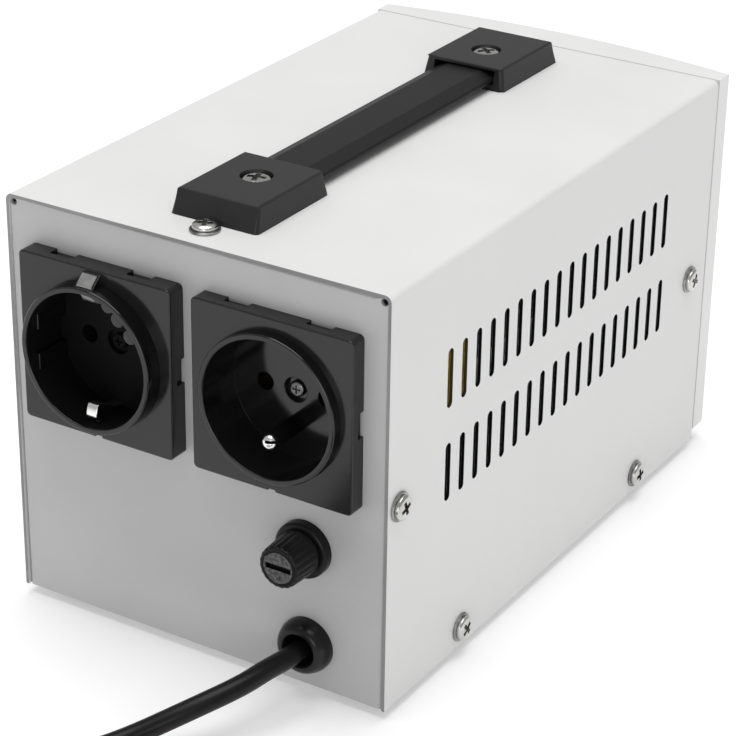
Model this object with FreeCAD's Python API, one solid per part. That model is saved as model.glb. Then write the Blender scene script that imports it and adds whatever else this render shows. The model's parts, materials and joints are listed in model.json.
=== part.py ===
import FreeCAD, Part
import math
import os

# Voltage stabilizer with two mains sockets at the back and a display at the front
# Millimetres, +Z up, front at -Y, sockets at +Y, origin under the middle of the case

# Case
case_width = 122.0
case_height = 122.0
case_depth = 189.0
sheet = 1.0
cover_bend = 2.0
cover_gap = 0.2
wall_recess = 0.5
flange_width = 12.0
relief_hole = 2.2

# Vents in both sides of the cover
vent_count = 18
vent_pitch = 7.45
vent_width = 2.75
vent_length = 17.3
vent_first_depth = 30.3
vent_upper_height = 87.2
vent_lower_height = 59.3

# Case screws
case_screw_radius = 1.9
case_screw_clearance = 0.15
case_screw_length = 8.0
case_head_radius = 3.5
case_head_height = 2.0
washer_radius = 4.2
washer_thickness = 0.8
wall_screw_height = 60.5
wall_screw_inset = 5.5
base_screw_height = 6.0
base_screw_rear = 40.0
base_screw_front = 147.0
top_screw_inset = 8.7
top_screw_offset = 1.5

# Feet
foot_radius = 7.0
foot_height = 3.0
foot_inset = 14.0
foot_screw_radius = 1.5
foot_bore_depth = 1.8
foot_head_radius = 2.8
foot_head_height = 1.2
foot_nut_flats = 5.5
foot_nut_height = 2.4

# Front bezel
bezel_edge_depth = 8.7
bezel_bow = 6.3
bezel_raise = 3.0
bezel_round = 2.0
bezel_wall = 3.0
bezel_cavity_depth = 9.2
bezel_cavity_side = 13.0
bezel_seat_depth = 11.6
bezel_boss_radius = 3.6
bezel_screw_radius = 1.4
bezel_screw_inset = 8.0
bezel_screw_high = 104.0
bezel_screw_low = 18.0

# Display and lamps
window_width = 64.0
window_height = 34.0
window_thickness = 1.8
window_centre_height = 90.0
window_margin = 4.0
window_gap = 0.15
board_thickness = 1.6
display_board_width = 76.0
display_board_height = 58.0
display_board_level = 84.0
digit_width = 30.2
digit_height = 14.0
digit_depth = 7.2
digit_pitch = 15.4
lamp_radius = 2.5
lamp_gap = 0.1
lamp_pitch = 16.0
lamp_level = 63.5
lamp_proud = 1.2

# Power rocker
switch_side = 27.0
switch_level = 35.0
switch_flange_width = 15.4
switch_flange_height = 21.6
switch_flange = 2.0
switch_body_width = 13.0
switch_body_height = 19.6
switch_body_depth = 18.0
rocker_half_width = 5.2
rocker_half_length = 8.0
rocker_tilt = 7.5
rocker_peak = 4.9
rocker_valley = 3.1
rocker_keel = 3.2
rocker_setback = 4.0
rocker_clearance = 1.0
rocker_side_gap = 0.5
axle_radius = 1.5
axle_gap = 0.05
axle_reach = 0.5
switch_tab_width = 4.8
switch_tab_thickness = 0.8
switch_tab_length = 7.0

# Delay button
button_radius = 4.4
button_gap = 0.35
button_proud = 2.2
button_travel = 1.5
button_flange_radius = 5.6
button_flange = 1.0
button_stem_radius = 1.7
delay_body = 12.0
delay_body_depth = 6.0
delay_neck_radius = 3.4
delay_neck_length = 2.0
delay_bore_gap = 0.1
moving_gap = 0.3

# Sockets
socket_size = 50.0
socket_side = 28.0
socket_level = 84.4
socket_round = 1.5
socket_body = 43.6
socket_body_depth = 24.0
socket_cutout_gap = 0.3
left_plate_reach = 5.5
left_rim_reach = 10.6
right_plate_reach = 4.7
right_rim_reach = 7.6
rim_radius = 21.2
rim_base_radius = 21.9
well_radius = 19.6
rim_lip = 0.35
left_well_depth = 15.1
right_well_depth = 14.6
contact_pitch = 19.0
contact_hole_radius = 2.6
contact_sleeve_radius = 3.2
contact_pocket_radius = 3.3
contact_sleeve_inset = 3.0
contact_tab_length = 6.0
centre_recess_radius = 3.5
centre_recess_depth = 1.5
centre_head_radius = 2.3
centre_screw_radius = 1.4
earth_pin_radius = 2.4
earth_pin_offset = 10.0
earth_pin_short = 0.6
earth_shank_radius = 1.9
clip_width = 4.8
clip_thickness = 0.9
clip_slot_gap = 0.2
clip_upper_reach = 15.7
clip_lower_reach = 14.2
lug_setback = 3.1
lug_width = 4.8
lug_reach = 2.0
bump_radius = 1.7
bump_length = 2.6
rim_bumps = ((37.0, 2.4), (53.0, 2.4), (65.0, 1.6), (74.0, 0.7))
edge_notch_width = 7.3
edge_notch_depth = 1.0
edge_notch_lip = 2.6
edge_notch_offset = 12.7

# Fuse holder
fuse_side_inset = 25.5
fuse_level = 42.6
fuse_flange_radius = 8.2
fuse_flange_reach = 2.6
fuse_barrel_radius = 6.0
fuse_barrel_depth = 27.0
fuse_barrel_gap = 0.2
fuse_bore_radius = 4.8
fuse_bore_depth = 10.5
fuse_core_radius = 3.0
fuse_floor = 3.0
fuse_nut_flats = 16.0
fuse_nut_height = 3.0
fuse_cap_radius = 6.3
fuse_cap_taper = 0.25
fuse_cap_reach = 12.7
fuse_stem_radius = 4.72
fuse_stem_depth = 9.0
fuse_cap_bore_radius = 2.7
fuse_flutes = 20
fuse_flute_depth = 0.5
fuse_slot_width = 1.6
fuse_slot_depth = 1.2
fuse_radius = 2.6
fuse_length = 20.0
fuse_end_length = 5.0
fuse_end_inset = 2.4
glass_wall = 0.45
glass_gap = 0.03
fuse_tab_length = 8.0

# Cord gland
gland_side_inset = 24.8
gland_level = 12.9
gland_radius = 8.1
gland_nose_radius = 6.6
gland_reach = 4.6
gland_mouth_radius = 4.8
gland_bore_gap = 0.1
gland_body_radius = 6.2
gland_body_depth = 12.0
gland_body_gap = 0.15
cord_diameter = 5.8
cord_inset = 0.5
inner_cord_end = 30.0

# Handle
handle_offset = 2.0
cap_width = 28.0
cap_length = 34.5
cap_height = 7.0
cap_taper = 1.2
cap_end_taper = 2.4
cap_round = 0.8
cap_floor = 1.8
cap_roof = 1.2
rear_cap_inset = 13.0
front_cap_margin = 12.0
cap_screw_shift = 3.0
cap_boss_radius = 5.6
cap_recess_radius = 4.6
cap_recess_depth = 2.3
cap_side_wall = 2.4
strap_width = 20.0
strap_thickness = 3.2
strap_edge = 1.5
strap_crown = 11.2
strap_travel = 1.5
strap_slot_gap = 0.4
strap_end_margin = 4.0
handle_screw_radius = 2.0
handle_head_radius = 3.5
handle_head_height = 1.9
handle_screw_length = 13.0
handle_nut_flats = 7.0
handle_nut_height = 3.2

# Transformer
core_leg = 25.4
core_window = 12.7
core_window_height = 38.1
core_stack = 42.0
core_centre = 98.0
coil_gap = 0.4
bobbin_wall = 1.2
coil_build = 11.0
frame_sheet = 1.5
frame_foot = 12.0
frame_bolt_radius = 2.0
frame_nut_flats = 7.0
frame_nut_height = 3.2

# Control board
board_width = 96.0
board_height = 84.0
board_level = 62.0
board_stand = 20.0
board_screw_inset = 5.0
stand_radius = 3.0
stand_screw_radius = 1.4
relay_width = 15.5
relay_height = 19.0
relay_depth = 15.5
relay_count = 4
relay_pitch = 21.0
relay_level = 84.0
can_radius = 5.0
can_length = 16.0
can_count = 3
can_pitch = 16.0
can_level = 54.0
sink_width = 22.0
sink_height = 24.0
sink_depth = 14.0
sink_fins = 5
sink_fin = 1.4
sink_base = 3.0

# Filter board behind the right socket
filter_board_offset = 13.5
filter_board_height = 34.0
filter_board_length = 40.0
filter_level = 75.0
filter_groove_depth = 4.0
filter_groove_wall = 1.2
filter_can_length = 22.0
filter_can_height = 23.0
filter_can_width = 9.0
filter_can_inset = 38.0

# Terminal block
block_side = 10.0
block_width = 44.0
block_depth = 16.0
block_height = 16.0
block_inset = 36.0
block_screw_radius = 1.8
block_ways = 5

# Leads inside the case
lead_radius = 1.1

# Coil of the cord and plug
coil_turn_radius = 42.5
coil_step = 6.35
coil_layer_turns = 2.48
coil_layer_gap = 0.45
coil_centre_side = 5.7
coil_centre_back = 109.9
coil_first_angle = -18.0
coil_tail = 12.0
cord_lead_in = 15.0
relief_length = 28.0
relief_end_radius = 3.7
relief_root_radius = 5.6
plug_radius = 18.8
plug_thickness = 24.0
plug_neck_length = 8.0
plug_neck_width = 17.0
plug_neck_height = 17.0
plug_flat = 17.2
plug_pin_radius = 2.4
plug_pin_length = 19.0
plug_edge = 2.0

# Places worked out from the sizes
bezel_depth = bezel_edge_depth + bezel_bow
rear_reach = max(left_rim_reach, fuse_cap_reach)
total_depth = rear_reach + case_depth + bezel_depth + lamp_proud
rear_y = total_depth / 2 - rear_reach
base_z = foot_height
top_z = base_z + case_height
inner_half = case_width / 2 - sheet - cover_gap
inner_top = top_z - sheet - cover_gap
front_wall_depth = case_depth - wall_recess
bezel_screw_side = case_width / 2 - bezel_screw_inset
front_cap_inset = case_depth - front_cap_margin
fuse_side = case_width / 2 - fuse_side_inset
gland_side = case_width / 2 - gland_side_inset

V = FreeCAD.Vector
X_AXIS = V(1, 0, 0)
Y_AXIS = V(0, 1, 0)
Z_AXIS = V(0, 0, 1)

os.makedirs("parts", exist_ok=True)


def save(name, shape):
    if isinstance(shape, list):
        shape = Part.makeCompound(shape)
    shape.exportStep("parts/" + name + ".step")
    print(name, len(shape.Solids), round(shape.Volume, 1), shape.isValid())


# A depth counts from the rear edge of the cover towards the front
def depth_y(depth):
    return rear_y - depth


def box(x0, x1, y0, y1, z0, z1):
    return Part.makeBox(x1 - x0, y1 - y0, z1 - z0, V(x0, y0, z0))


def deep_box(x0, x1, near, far, z0, z1):
    return box(x0, x1, depth_y(far), depth_y(near), z0, z1)


def deep_rod(x, z, radius, near, far):
    return Part.makeCylinder(radius, far - near, V(x, depth_y(far), z), Y_AXIS)


def deep_cone(x, z, near_radius, far_radius, near, far):
    start = V(x, depth_y(near), z)
    return Part.makeCone(near_radius, far_radius, far - near, start, -Y_AXIS)


def rod_x(x0, x1, y, z, radius):
    return Part.makeCylinder(radius, x1 - x0, V(x0, y, z), X_AXIS)


def rod_z(x, y, radius, z0, z1):
    return Part.makeCylinder(radius, z1 - z0, V(x, y, z0), Z_AXIS)


def fuse_all(shapes):
    whole = shapes[0]
    for extra in shapes[1:]:
        whole = whole.fuse(extra)
    return whole.removeSplitter()


def cut_all(shape, tools):
    return shape.cut(Part.makeCompound(tools)) if tools else shape


def polygon_prism(points, travel):
    wire = Part.makePolygon(points + [points[0]])
    return Part.Face(wire).extrude(travel)


def hexagon(flats, height, centre, axis, hole):
    corner = flats / 2 / math.cos(math.radians(30))
    points = []
    for side in range(6):
        turn = math.radians(60 * side)
        points.append(V(corner * math.cos(turn), corner * math.sin(turn), 0))
    nut = polygon_prism(points, V(0, 0, height))
    nut = nut.cut(Part.makeCylinder(hole, height))
    nut.Placement = FreeCAD.Placement(centre, FreeCAD.Rotation(Z_AXIS, axis))
    return nut


# A pan head screw that points along an axis, with a crossed recess in its head
def pan_screw(seat, axis, head_radius, head_height, radius, length):
    dome = Part.makeCylinder(head_radius, head_height, V(0, 0, -head_height))
    rim = [edge for edge in dome.Edges if edge.BoundBox.ZMax < -head_height / 2]
    dome = dome.makeFillet(head_height * 0.55, rim[:1])
    arm = head_radius * 0.55
    slot = head_radius * 0.11
    depth = head_height * 0.5
    cross = [
        Part.makeBox(2 * arm, 2 * slot, depth, V(-arm, -slot, -head_height)),
        Part.makeBox(2 * slot, 2 * arm, depth, V(-slot, -arm, -head_height)),
    ]
    screw = dome.cut(cross[0].fuse(cross[1]))
    screw = screw.fuse(Part.makeCylinder(radius, length))
    screw.Placement = FreeCAD.Placement(seat, FreeCAD.Rotation(Z_AXIS, axis))
    return screw


# A tube along straight runs that are joined by tangent arcs
def route_wire(points, name):
    edges = []
    start = points[0]
    radii = []
    for here, corner, after in zip(points, points[1:], points[2:]):
        back = here - corner
        ahead = after - corner
        shorter = min(back.Length, ahead.Length)
        half = (math.pi - back.getAngle(ahead)) / 2
        trim = 0.45 * shorter
        radii.append(trim / math.tan(half))
        back.normalize()
        ahead.normalize()
        first = corner + back * trim
        last = corner + ahead * trim
        bisector = (back + ahead).normalize()
        reach = radii[-1] / math.cos(half) - radii[-1]
        edges.append(Part.LineSegment(start, first).toShape())
        edges.append(Part.Arc(first, corner + bisector * reach, last).toShape())
        start = last
    edges.append(Part.LineSegment(start, points[-1]).toShape())
    wire = Part.Wire(edges)
    if name:
        print(name, "length", round(wire.Length, 1), "radii", [round(r, 1) for r in radii])
    return wire


def route_tube(points, radius, name=""):
    wire = route_wire(points, name)
    heading = (points[1] - points[0]).normalize()
    ring = Part.Wire(Part.makeCircle(radius, points[0], heading))
    tube = wire.makePipeShell([ring], True, False)
    wanted = math.pi * radius ** 2 * wire.Length
    if name:
        print(name, "volume over section times length", round(tube.Volume / wanted, 4))
    return tube


# Case


def wall_flanges(outer, inward):
    near = min(outer, outer + inward * flange_width)
    far = max(outer, outer + inward * flange_width)
    low = base_z + flange_width + sheet
    high = inner_top - 2 * sheet
    pieces = []
    for side in (-1, 1):
        edge = side * inner_half
        fold = edge - side * sheet
        pieces.append(deep_box(min(edge, fold), max(edge, fold), near, far, low, high))
    reach = inner_half - 2 * sheet
    pieces.append(deep_box(-reach, reach, near, far, inner_top - sheet, inner_top))
    return pieces


def case_screw_places():
    places = []
    for side in (-1, 1):
        for depth in (wall_screw_inset, case_depth - wall_screw_inset - flange_width / 2):
            places.append((side, depth, base_z + wall_screw_height))
        for depth in (base_screw_rear, base_screw_front):
            places.append((side, depth, base_z + base_screw_height))
    return places


def foot_places():
    places = []
    for side in (-1, 1):
        for depth in (foot_inset, case_depth - foot_inset):
            places.append((side * (case_width / 2 - foot_inset), depth_y(depth)))
    return places


def frame_foot_places():
    half = core_leg / 2 + core_window + core_leg / 2
    side = half + frame_sheet + frame_foot / 2
    reach = core_stack / 2 - frame_foot / 2
    places = []
    for sign in (-1, 1):
        for along in (-reach, reach):
            places.append((sign * side, depth_y(core_centre + along)))
    return places


def board_screw_places():
    places = []
    for x in (-1, 1):
        for z in (-1, 1):
            side = x * (board_width / 2 - board_screw_inset)
            level = base_z + board_level + z * (board_height / 2 - board_screw_inset)
            places.append((side, level))
    return places


def bezel_screw_places():
    places = []
    for side in (-bezel_screw_side, bezel_screw_side):
        for level in (bezel_screw_low, bezel_screw_high):
            places.append((side, base_z + level))
    return places


def make_chassis():
    rear = wall_recess
    front = front_wall_depth
    screw_hole = case_screw_radius + case_screw_clearance
    pieces = [
        deep_box(-inner_half, inner_half, rear, front, base_z, base_z + sheet),
        deep_box(-inner_half, inner_half, rear, rear + sheet, base_z, inner_top),
        deep_box(-inner_half, inner_half, front - sheet, front, base_z, inner_top),
    ]
    pieces += wall_flanges(rear, 1)
    pieces += wall_flanges(front, -1)
    for side in (-1, 1):
        edge = side * inner_half
        fold = edge - side * sheet
        near = rear + flange_width
        far = front - flange_width
        pieces.append(deep_box(min(edge, fold), max(edge, fold), near, far,
                               base_z, base_z + flange_width))
    chassis = fuse_all(pieces)
    holes = []
    for side, depth, level in case_screw_places():
        edge = side * inner_half
        holes.append(rod_x(min(edge, edge - side * 3 * sheet), max(edge, edge - side * 3 * sheet),
                           depth_y(depth), level, screw_hole))
    holes.append(rod_z(top_screw_offset, depth_y(top_screw_inset), screw_hole,
                       inner_top - 2 * sheet, inner_top + sheet))
    cut = socket_body / 2 + socket_cutout_gap
    for side in (-socket_side, socket_side):
        level = base_z + socket_level
        holes.append(deep_box(side - cut, side + cut, rear - sheet, rear + 2 * sheet,
                              level - cut, level + cut))
    holes.append(deep_rod(-fuse_side, base_z + fuse_level, fuse_barrel_radius + fuse_barrel_gap,
                          rear - sheet, rear + 2 * sheet))
    holes.append(deep_rod(-gland_side, base_z + gland_level, gland_body_radius + gland_body_gap,
                          rear - sheet, rear + 2 * sheet))
    for side in (-inner_half, inner_half):
        x = side * (1 - relief_hole / 2 / inner_half)
        level = inner_top - sheet
        for near in (rear, front - sheet):
            holes.append(deep_rod(x, level, relief_hole / 2, near - sheet, near + 2 * sheet))
            holes.append(deep_box(min(x, side), max(x, side), near - sheet, near + 2 * sheet,
                                  level, level + 2 * sheet))
    for x, y in foot_places():
        holes.append(rod_z(x, y, foot_screw_radius + case_screw_clearance,
                           base_z - sheet, base_z + 2 * sheet))
    for x, y in frame_foot_places():
        holes.append(rod_z(x, y, frame_bolt_radius + case_screw_clearance,
                           base_z - sheet, base_z + 2 * sheet))
    for x, z in board_screw_places():
        holes.append(deep_rod(x, z, stand_screw_radius + case_screw_clearance,
                              front - 2 * sheet, front + sheet))
    for x, z in bezel_screw_places():
        holes.append(deep_rod(x, z, bezel_screw_radius + case_screw_clearance,
                              front - 2 * sheet, front + sheet))
    half_w = switch_body_width / 2 + socket_cutout_gap
    half_h = switch_body_height / 2 + socket_cutout_gap
    level = base_z + switch_level
    holes.append(deep_box(switch_side - half_w, switch_side + half_w, front - 2 * sheet,
                          front + sheet, level - half_h, level + half_h))
    holes.append(deep_rod(-switch_side, level, delay_neck_radius + case_screw_clearance,
                          front - 2 * sheet, front + sheet))
    wire_slot = window_width / 4
    holes.append(deep_box(-wire_slot, wire_slot, front - 2 * sheet, front + sheet,
                          base_z + lamp_level - 2 * wire_slot,
                          base_z + lamp_level - wire_slot))
    return cut_all(chassis, holes)


def vent_slot(side, depth, level):
    straight = vent_length - vent_width
    low = level - straight / 2
    x0 = side * case_width / 2 - 2 * sheet
    x1 = side * case_width / 2 + 2 * sheet
    half = vent_width / 2
    slot = deep_box(x0, x1, depth - half, depth + half, low, low + straight)
    for end in (low, low + straight):
        slot = slot.fuse(rod_x(x0, x1, depth_y(depth), end, half))
    return slot


def make_cover():
    half = case_width / 2
    outer = deep_box(-half, half, 0, case_depth, base_z, top_z)
    ridges = [edge for edge in outer.Edges
              if edge.BoundBox.ZMin > top_z - sheet and edge.BoundBox.YLength > case_depth / 2]
    outer = outer.makeFillet(cover_bend, ridges)
    inner = deep_box(-half + sheet, half - sheet, -sheet, case_depth + sheet,
                     base_z - sheet, top_z - sheet)
    ridges = [edge for edge in inner.Edges
              if edge.BoundBox.ZMin > top_z - 2 * sheet and edge.BoundBox.YLength > case_depth / 2]
    inner = inner.makeFillet(cover_bend - sheet / 2, ridges)
    cover = outer.cut(inner)
    holes = []
    for side in (-1, 1):
        for level in (vent_upper_height, vent_lower_height):
            for index in range(vent_count):
                holes.append(vent_slot(side, vent_first_depth + index * vent_pitch, base_z + level))
    hole = case_screw_radius + case_screw_clearance
    for side, depth, level in case_screw_places():
        x0 = side * half - 2 * sheet
        holes.append(rod_x(x0, x0 + 4 * sheet, depth_y(depth), level, hole))
    holes.append(rod_z(top_screw_offset, depth_y(top_screw_inset), hole,
                       top_z - 2 * sheet, top_z + sheet))
    for screw_y in cap_screw_ys():
        holes.append(rod_z(handle_offset, screw_y, handle_screw_radius + case_screw_clearance,
                           top_z - 2 * sheet, top_z + sheet))
    return cut_all(cover, holes)


def make_case_screws():
    screws = []
    washers = []
    half = case_width / 2
    hole = case_screw_radius + case_screw_clearance
    for side, depth, level in case_screw_places():
        face = V(side * half, depth_y(depth), level)
        seat = face + X_AXIS * side * washer_thickness
        washer = Part.makeCylinder(washer_radius, washer_thickness, face, X_AXIS * side)
        washer = washer.cut(Part.makeCylinder(hole, washer_thickness, face, X_AXIS * side))
        washers.append(washer)
        screws.append(pan_screw(seat, -X_AXIS * side, case_head_radius, case_head_height,
                                case_screw_radius, case_screw_length))
    face = V(top_screw_offset, depth_y(top_screw_inset), top_z)
    washer = Part.makeCylinder(washer_radius, washer_thickness, face)
    washers.append(washer.cut(Part.makeCylinder(hole, washer_thickness, face)))
    screws.append(pan_screw(face + Z_AXIS * washer_thickness, -Z_AXIS, case_head_radius,
                            case_head_height, case_screw_radius, case_screw_length))
    return screws, washers


# Feet


def make_feet():
    feet = []
    screws = []
    nuts = []
    for x, y in foot_places():
        foot = Part.makeCone(foot_radius - foot_height / 3, foot_radius, foot_height, V(x, y, 0))
        foot = foot.cut(rod_z(x, y, foot_head_radius + moving_gap, 0, foot_bore_depth))
        foot = foot.cut(rod_z(x, y, foot_screw_radius + case_screw_clearance, 0, foot_height))
        feet.append(foot)
        length = base_z + sheet + foot_nut_height - foot_bore_depth + sheet
        screws.append(pan_screw(V(x, y, foot_bore_depth), Z_AXIS, foot_head_radius,
                                foot_head_height, foot_screw_radius, length))
        nuts.append(hexagon(foot_nut_flats, foot_nut_height, V(x, y, base_z + sheet), Z_AXIS,
                            foot_screw_radius + axle_gap))
    return feet, screws, nuts


# Front


# How far the bowed front face stands out from the case at a place across it
def bezel_face(x):
    return case_depth + bezel_edge_depth + bezel_bow * (1 - (x / (case_width / 2)) ** 2)


def make_bezel():
    half = case_width / 2
    low = base_z + bezel_raise
    back = depth_y(case_depth)
    edge = depth_y(case_depth + bezel_edge_depth)
    nose = depth_y(case_depth + bezel_depth)
    outline = [
        Part.LineSegment(V(half, back, low), V(-half, back, low)).toShape(),
        Part.LineSegment(V(-half, back, low), V(-half, edge, low)).toShape(),
        Part.Arc(V(-half, edge, low), V(0, nose, low), V(half, edge, low)).toShape(),
        Part.LineSegment(V(half, edge, low), V(half, back, low)).toShape(),
    ]
    bezel = Part.Face(Part.Wire(outline)).extrude(V(0, 0, top_z - low))
    rims = [item for item in bezel.Edges if item.BoundBox.YMax < edge + 0.01]
    bezel = bezel.makeFillet(bezel_round, rims)
    room = half - bezel_cavity_side
    floor_depth = case_depth + bezel_cavity_depth
    tools = [deep_box(-room, room, case_depth - sheet, floor_depth,
                      low + bezel_wall, top_z - bezel_wall)]
    seat = case_depth + bezel_seat_depth
    out = case_depth + bezel_depth + sheet
    level = base_z + window_centre_height
    half_w = window_width / 2 + window_gap
    half_h = window_height / 2 + window_gap
    tools.append(deep_box(-half_w, half_w, seat, out, level - half_h, level + half_h))
    tools.append(deep_box(-half_w + window_margin, half_w - window_margin, floor_depth - sheet,
                          seat + sheet, level - half_h + window_margin,
                          level + half_h - window_margin))
    for index in (-1, 0, 1):
        tools.append(deep_rod(index * lamp_pitch, base_z + lamp_level, lamp_radius + lamp_gap,
                              floor_depth - sheet, out))
    level = base_z + switch_level
    half_w = switch_flange_width / 2 + window_gap
    half_h = switch_flange_height / 2 + window_gap
    tools.append(deep_box(switch_side - half_w, switch_side + half_w, seat, out,
                          level - half_h, level + half_h))
    half_w = switch_body_width / 2 + window_gap
    half_h = switch_body_height / 2 + window_gap
    tools.append(deep_box(switch_side - half_w, switch_side + half_w, floor_depth - sheet, out,
                          level - half_h, level + half_h))
    tools.append(deep_rod(-switch_side, level, button_radius + button_gap,
                          floor_depth - sheet, out))
    tools.append(deep_rod(-switch_side, level, switch_flange_width / 2, seat, out))
    bezel = cut_all(bezel, tools)
    bosses = []
    for x, z in bezel_screw_places():
        boss = deep_rod(x, z, bezel_boss_radius, front_wall_depth, case_depth + 0.01)
        boss = boss.cut(deep_rod(x, z, bezel_screw_radius, front_wall_depth, case_depth + 0.01))
        bosses.append(boss)
    pilot_end = case_depth + bezel_edge_depth - bezel_round
    pilots = [deep_rod(x, z, bezel_screw_radius, case_depth - sheet, pilot_end)
              for x, z in bezel_screw_places()]
    for x in (-1, 1):
        for z in (-1, 1):
            side = x * (display_board_width / 2 - stand_radius)
            level = base_z + display_board_level + z * (display_board_height / 2 - stand_radius)
            bosses.append(deep_rod(side, level, stand_radius - moving_gap, display_board_front(),
                                   case_depth + bezel_cavity_depth))
    bezel = fuse_all([bezel] + bosses)
    return cut_all(bezel, pilots)


def make_bezel_screws():
    screws = []
    seat = front_wall_depth - sheet
    for x, z in bezel_screw_places():
        length = bezel_edge_depth - bezel_round + wall_recess
        screws.append(pan_screw(V(x, depth_y(seat), z), -Y_AXIS, 2 * bezel_screw_radius,
                                bezel_screw_radius, bezel_screw_radius - axle_gap, length))
    return screws


def make_window():
    seat = case_depth + bezel_seat_depth
    level = base_z + window_centre_height
    pane = deep_box(-window_width / 2, window_width / 2, seat, seat + window_thickness,
                    level - window_height / 2, level + window_height / 2)
    return pane


def display_board_front():
    return case_depth + bezel_cavity_depth - digit_depth - window_gap


def make_display():
    near = display_board_front() - board_thickness
    level = base_z + display_board_level
    board = deep_box(-display_board_width / 2, display_board_width / 2, near,
                     near + board_thickness, level - display_board_height / 2,
                     level + display_board_height / 2)
    digits = []
    for row in (-1, 1):
        middle = base_z + window_centre_height + row * digit_pitch / 2
        digits.append(deep_box(-digit_width / 2, digit_width / 2, near + board_thickness,
                               near + board_thickness + digit_depth,
                               middle - digit_height / 2, middle + digit_height / 2))
    return board, digits


def make_lamps():
    lamps = []
    for index in (-1, 0, 1):
        x = index * lamp_pitch
        z = base_z + lamp_level
        tip = bezel_face(x) + lamp_proud
        foot = display_board_front()
        lamp = deep_rod(x, z, lamp_radius, foot, tip - lamp_radius)
        lamp = lamp.fuse(Part.makeSphere(lamp_radius, V(x, depth_y(tip - lamp_radius), z)))
        lamp = lamp.fuse(deep_rod(x, z, lamp_radius + moving_gap, foot, foot + 1))
        lamps.append(lamp.removeSplitter())
    return lamps


# Power rocker


def rocker_axle_depth():
    return case_depth + bezel_seat_depth + switch_flange - rocker_setback


def make_switch_frame():
    seat = case_depth + bezel_seat_depth
    level = base_z + switch_level
    flange = deep_box(switch_side - switch_flange_width / 2, switch_side + switch_flange_width / 2,
                      seat, seat + switch_flange, level - switch_flange_height / 2,
                      level + switch_flange_height / 2)
    rims = [edge for edge in flange.Edges if edge.BoundBox.YMax < depth_y(seat + switch_flange / 2)]
    flange = flange.makeFillet(switch_flange * 0.3, rims)
    body = deep_box(switch_side - switch_body_width / 2, switch_side + switch_body_width / 2,
                    seat - switch_body_depth, seat, level - switch_body_height / 2,
                    level + switch_body_height / 2)
    frame = fuse_all([flange, body])
    axle = rocker_axle_depth()
    half_w = rocker_half_width + rocker_side_gap
    half_h = rocker_half_length + rocker_clearance
    floor_depth = axle - rocker_keel - rocker_clearance
    frame = frame.cut(deep_box(switch_side - half_w, switch_side + half_w, floor_depth,
                               seat + 2 * switch_flange, level - half_h, level + half_h))
    bore_half = half_w + axle_reach + moving_gap
    bore = rod_x(switch_side - bore_half, switch_side + bore_half,
                 depth_y(axle), level, axle_radius + axle_gap)
    return frame.cut(bore)


def make_switch_tabs():
    seat = case_depth + bezel_seat_depth
    level = base_z + switch_level
    back = seat - switch_body_depth
    tabs = []
    for row in (-1, 1):
        middle = level + row * switch_body_height / 4
        for side in (-1, 1):
            x = switch_side + side * switch_body_width / 4
            tabs.append(deep_box(x - switch_tab_thickness / 2, x + switch_tab_thickness / 2,
                                 back - switch_tab_length, back,
                                 middle - switch_tab_width / 2, middle + switch_tab_width / 2))
    return tabs


def make_rocker():
    axle = rocker_axle_depth()
    level = base_z + switch_level
    half = rocker_half_length
    profile = [
        (half, rocker_peak), (0, rocker_valley), (-half, rocker_peak), (-half, 0),
        (-half * 0.4, -rocker_keel), (half * 0.4, -rocker_keel), (half, 0),
    ]
    x0 = switch_side - rocker_half_width
    points = [V(x0, depth_y(axle + out), level + along) for along, out in profile]
    rocker = polygon_prism(points, V(2 * rocker_half_width, 0, 0))
    ends = rocker_half_width + rocker_side_gap + axle_reach
    rocker = rocker.fuse(rod_x(switch_side - ends, switch_side + ends, depth_y(axle), level, axle_radius))
    rocker = rocker.removeSplitter()
    rocker.rotate(V(switch_side, depth_y(axle), level), X_AXIS, rocker_tilt)
    return rocker


# Delay button


def make_button():
    level = base_z + switch_level
    seat = case_depth + bezel_seat_depth
    inner = case_depth + bezel_cavity_depth - moving_gap
    x = -switch_side
    face = seat + button_proud
    cap = deep_rod(x, level, button_radius, inner - button_flange, face)
    rim = [edge for edge in cap.Edges if edge.BoundBox.YMax < depth_y(face) + 0.01]
    cap = cap.makeFillet(0.6, rim)
    flange = deep_rod(x, level, button_flange_radius, inner - button_flange, inner)
    stem_end = front_wall_depth - sheet / 2
    stem = deep_rod(x, level, button_stem_radius, stem_end, inner)
    return fuse_all([cap, flange, stem])


def make_delay_switch():
    level = base_z + switch_level
    x = -switch_side
    wall = front_wall_depth - sheet
    half = delay_body / 2
    body = deep_box(x - half, x + half, wall - delay_body_depth, wall, level - half, level + half)
    neck = deep_rod(x, level, delay_neck_radius, wall, front_wall_depth + delay_neck_length)
    switch = fuse_all([body, neck])
    bore_end = front_wall_depth - sheet / 2 - button_travel - 2 * moving_gap
    bore = deep_rod(x, level, button_stem_radius + delay_bore_gap, bore_end,
                    front_wall_depth + 2 * delay_neck_length)
    return switch.cut(bore)


# Sockets


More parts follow.
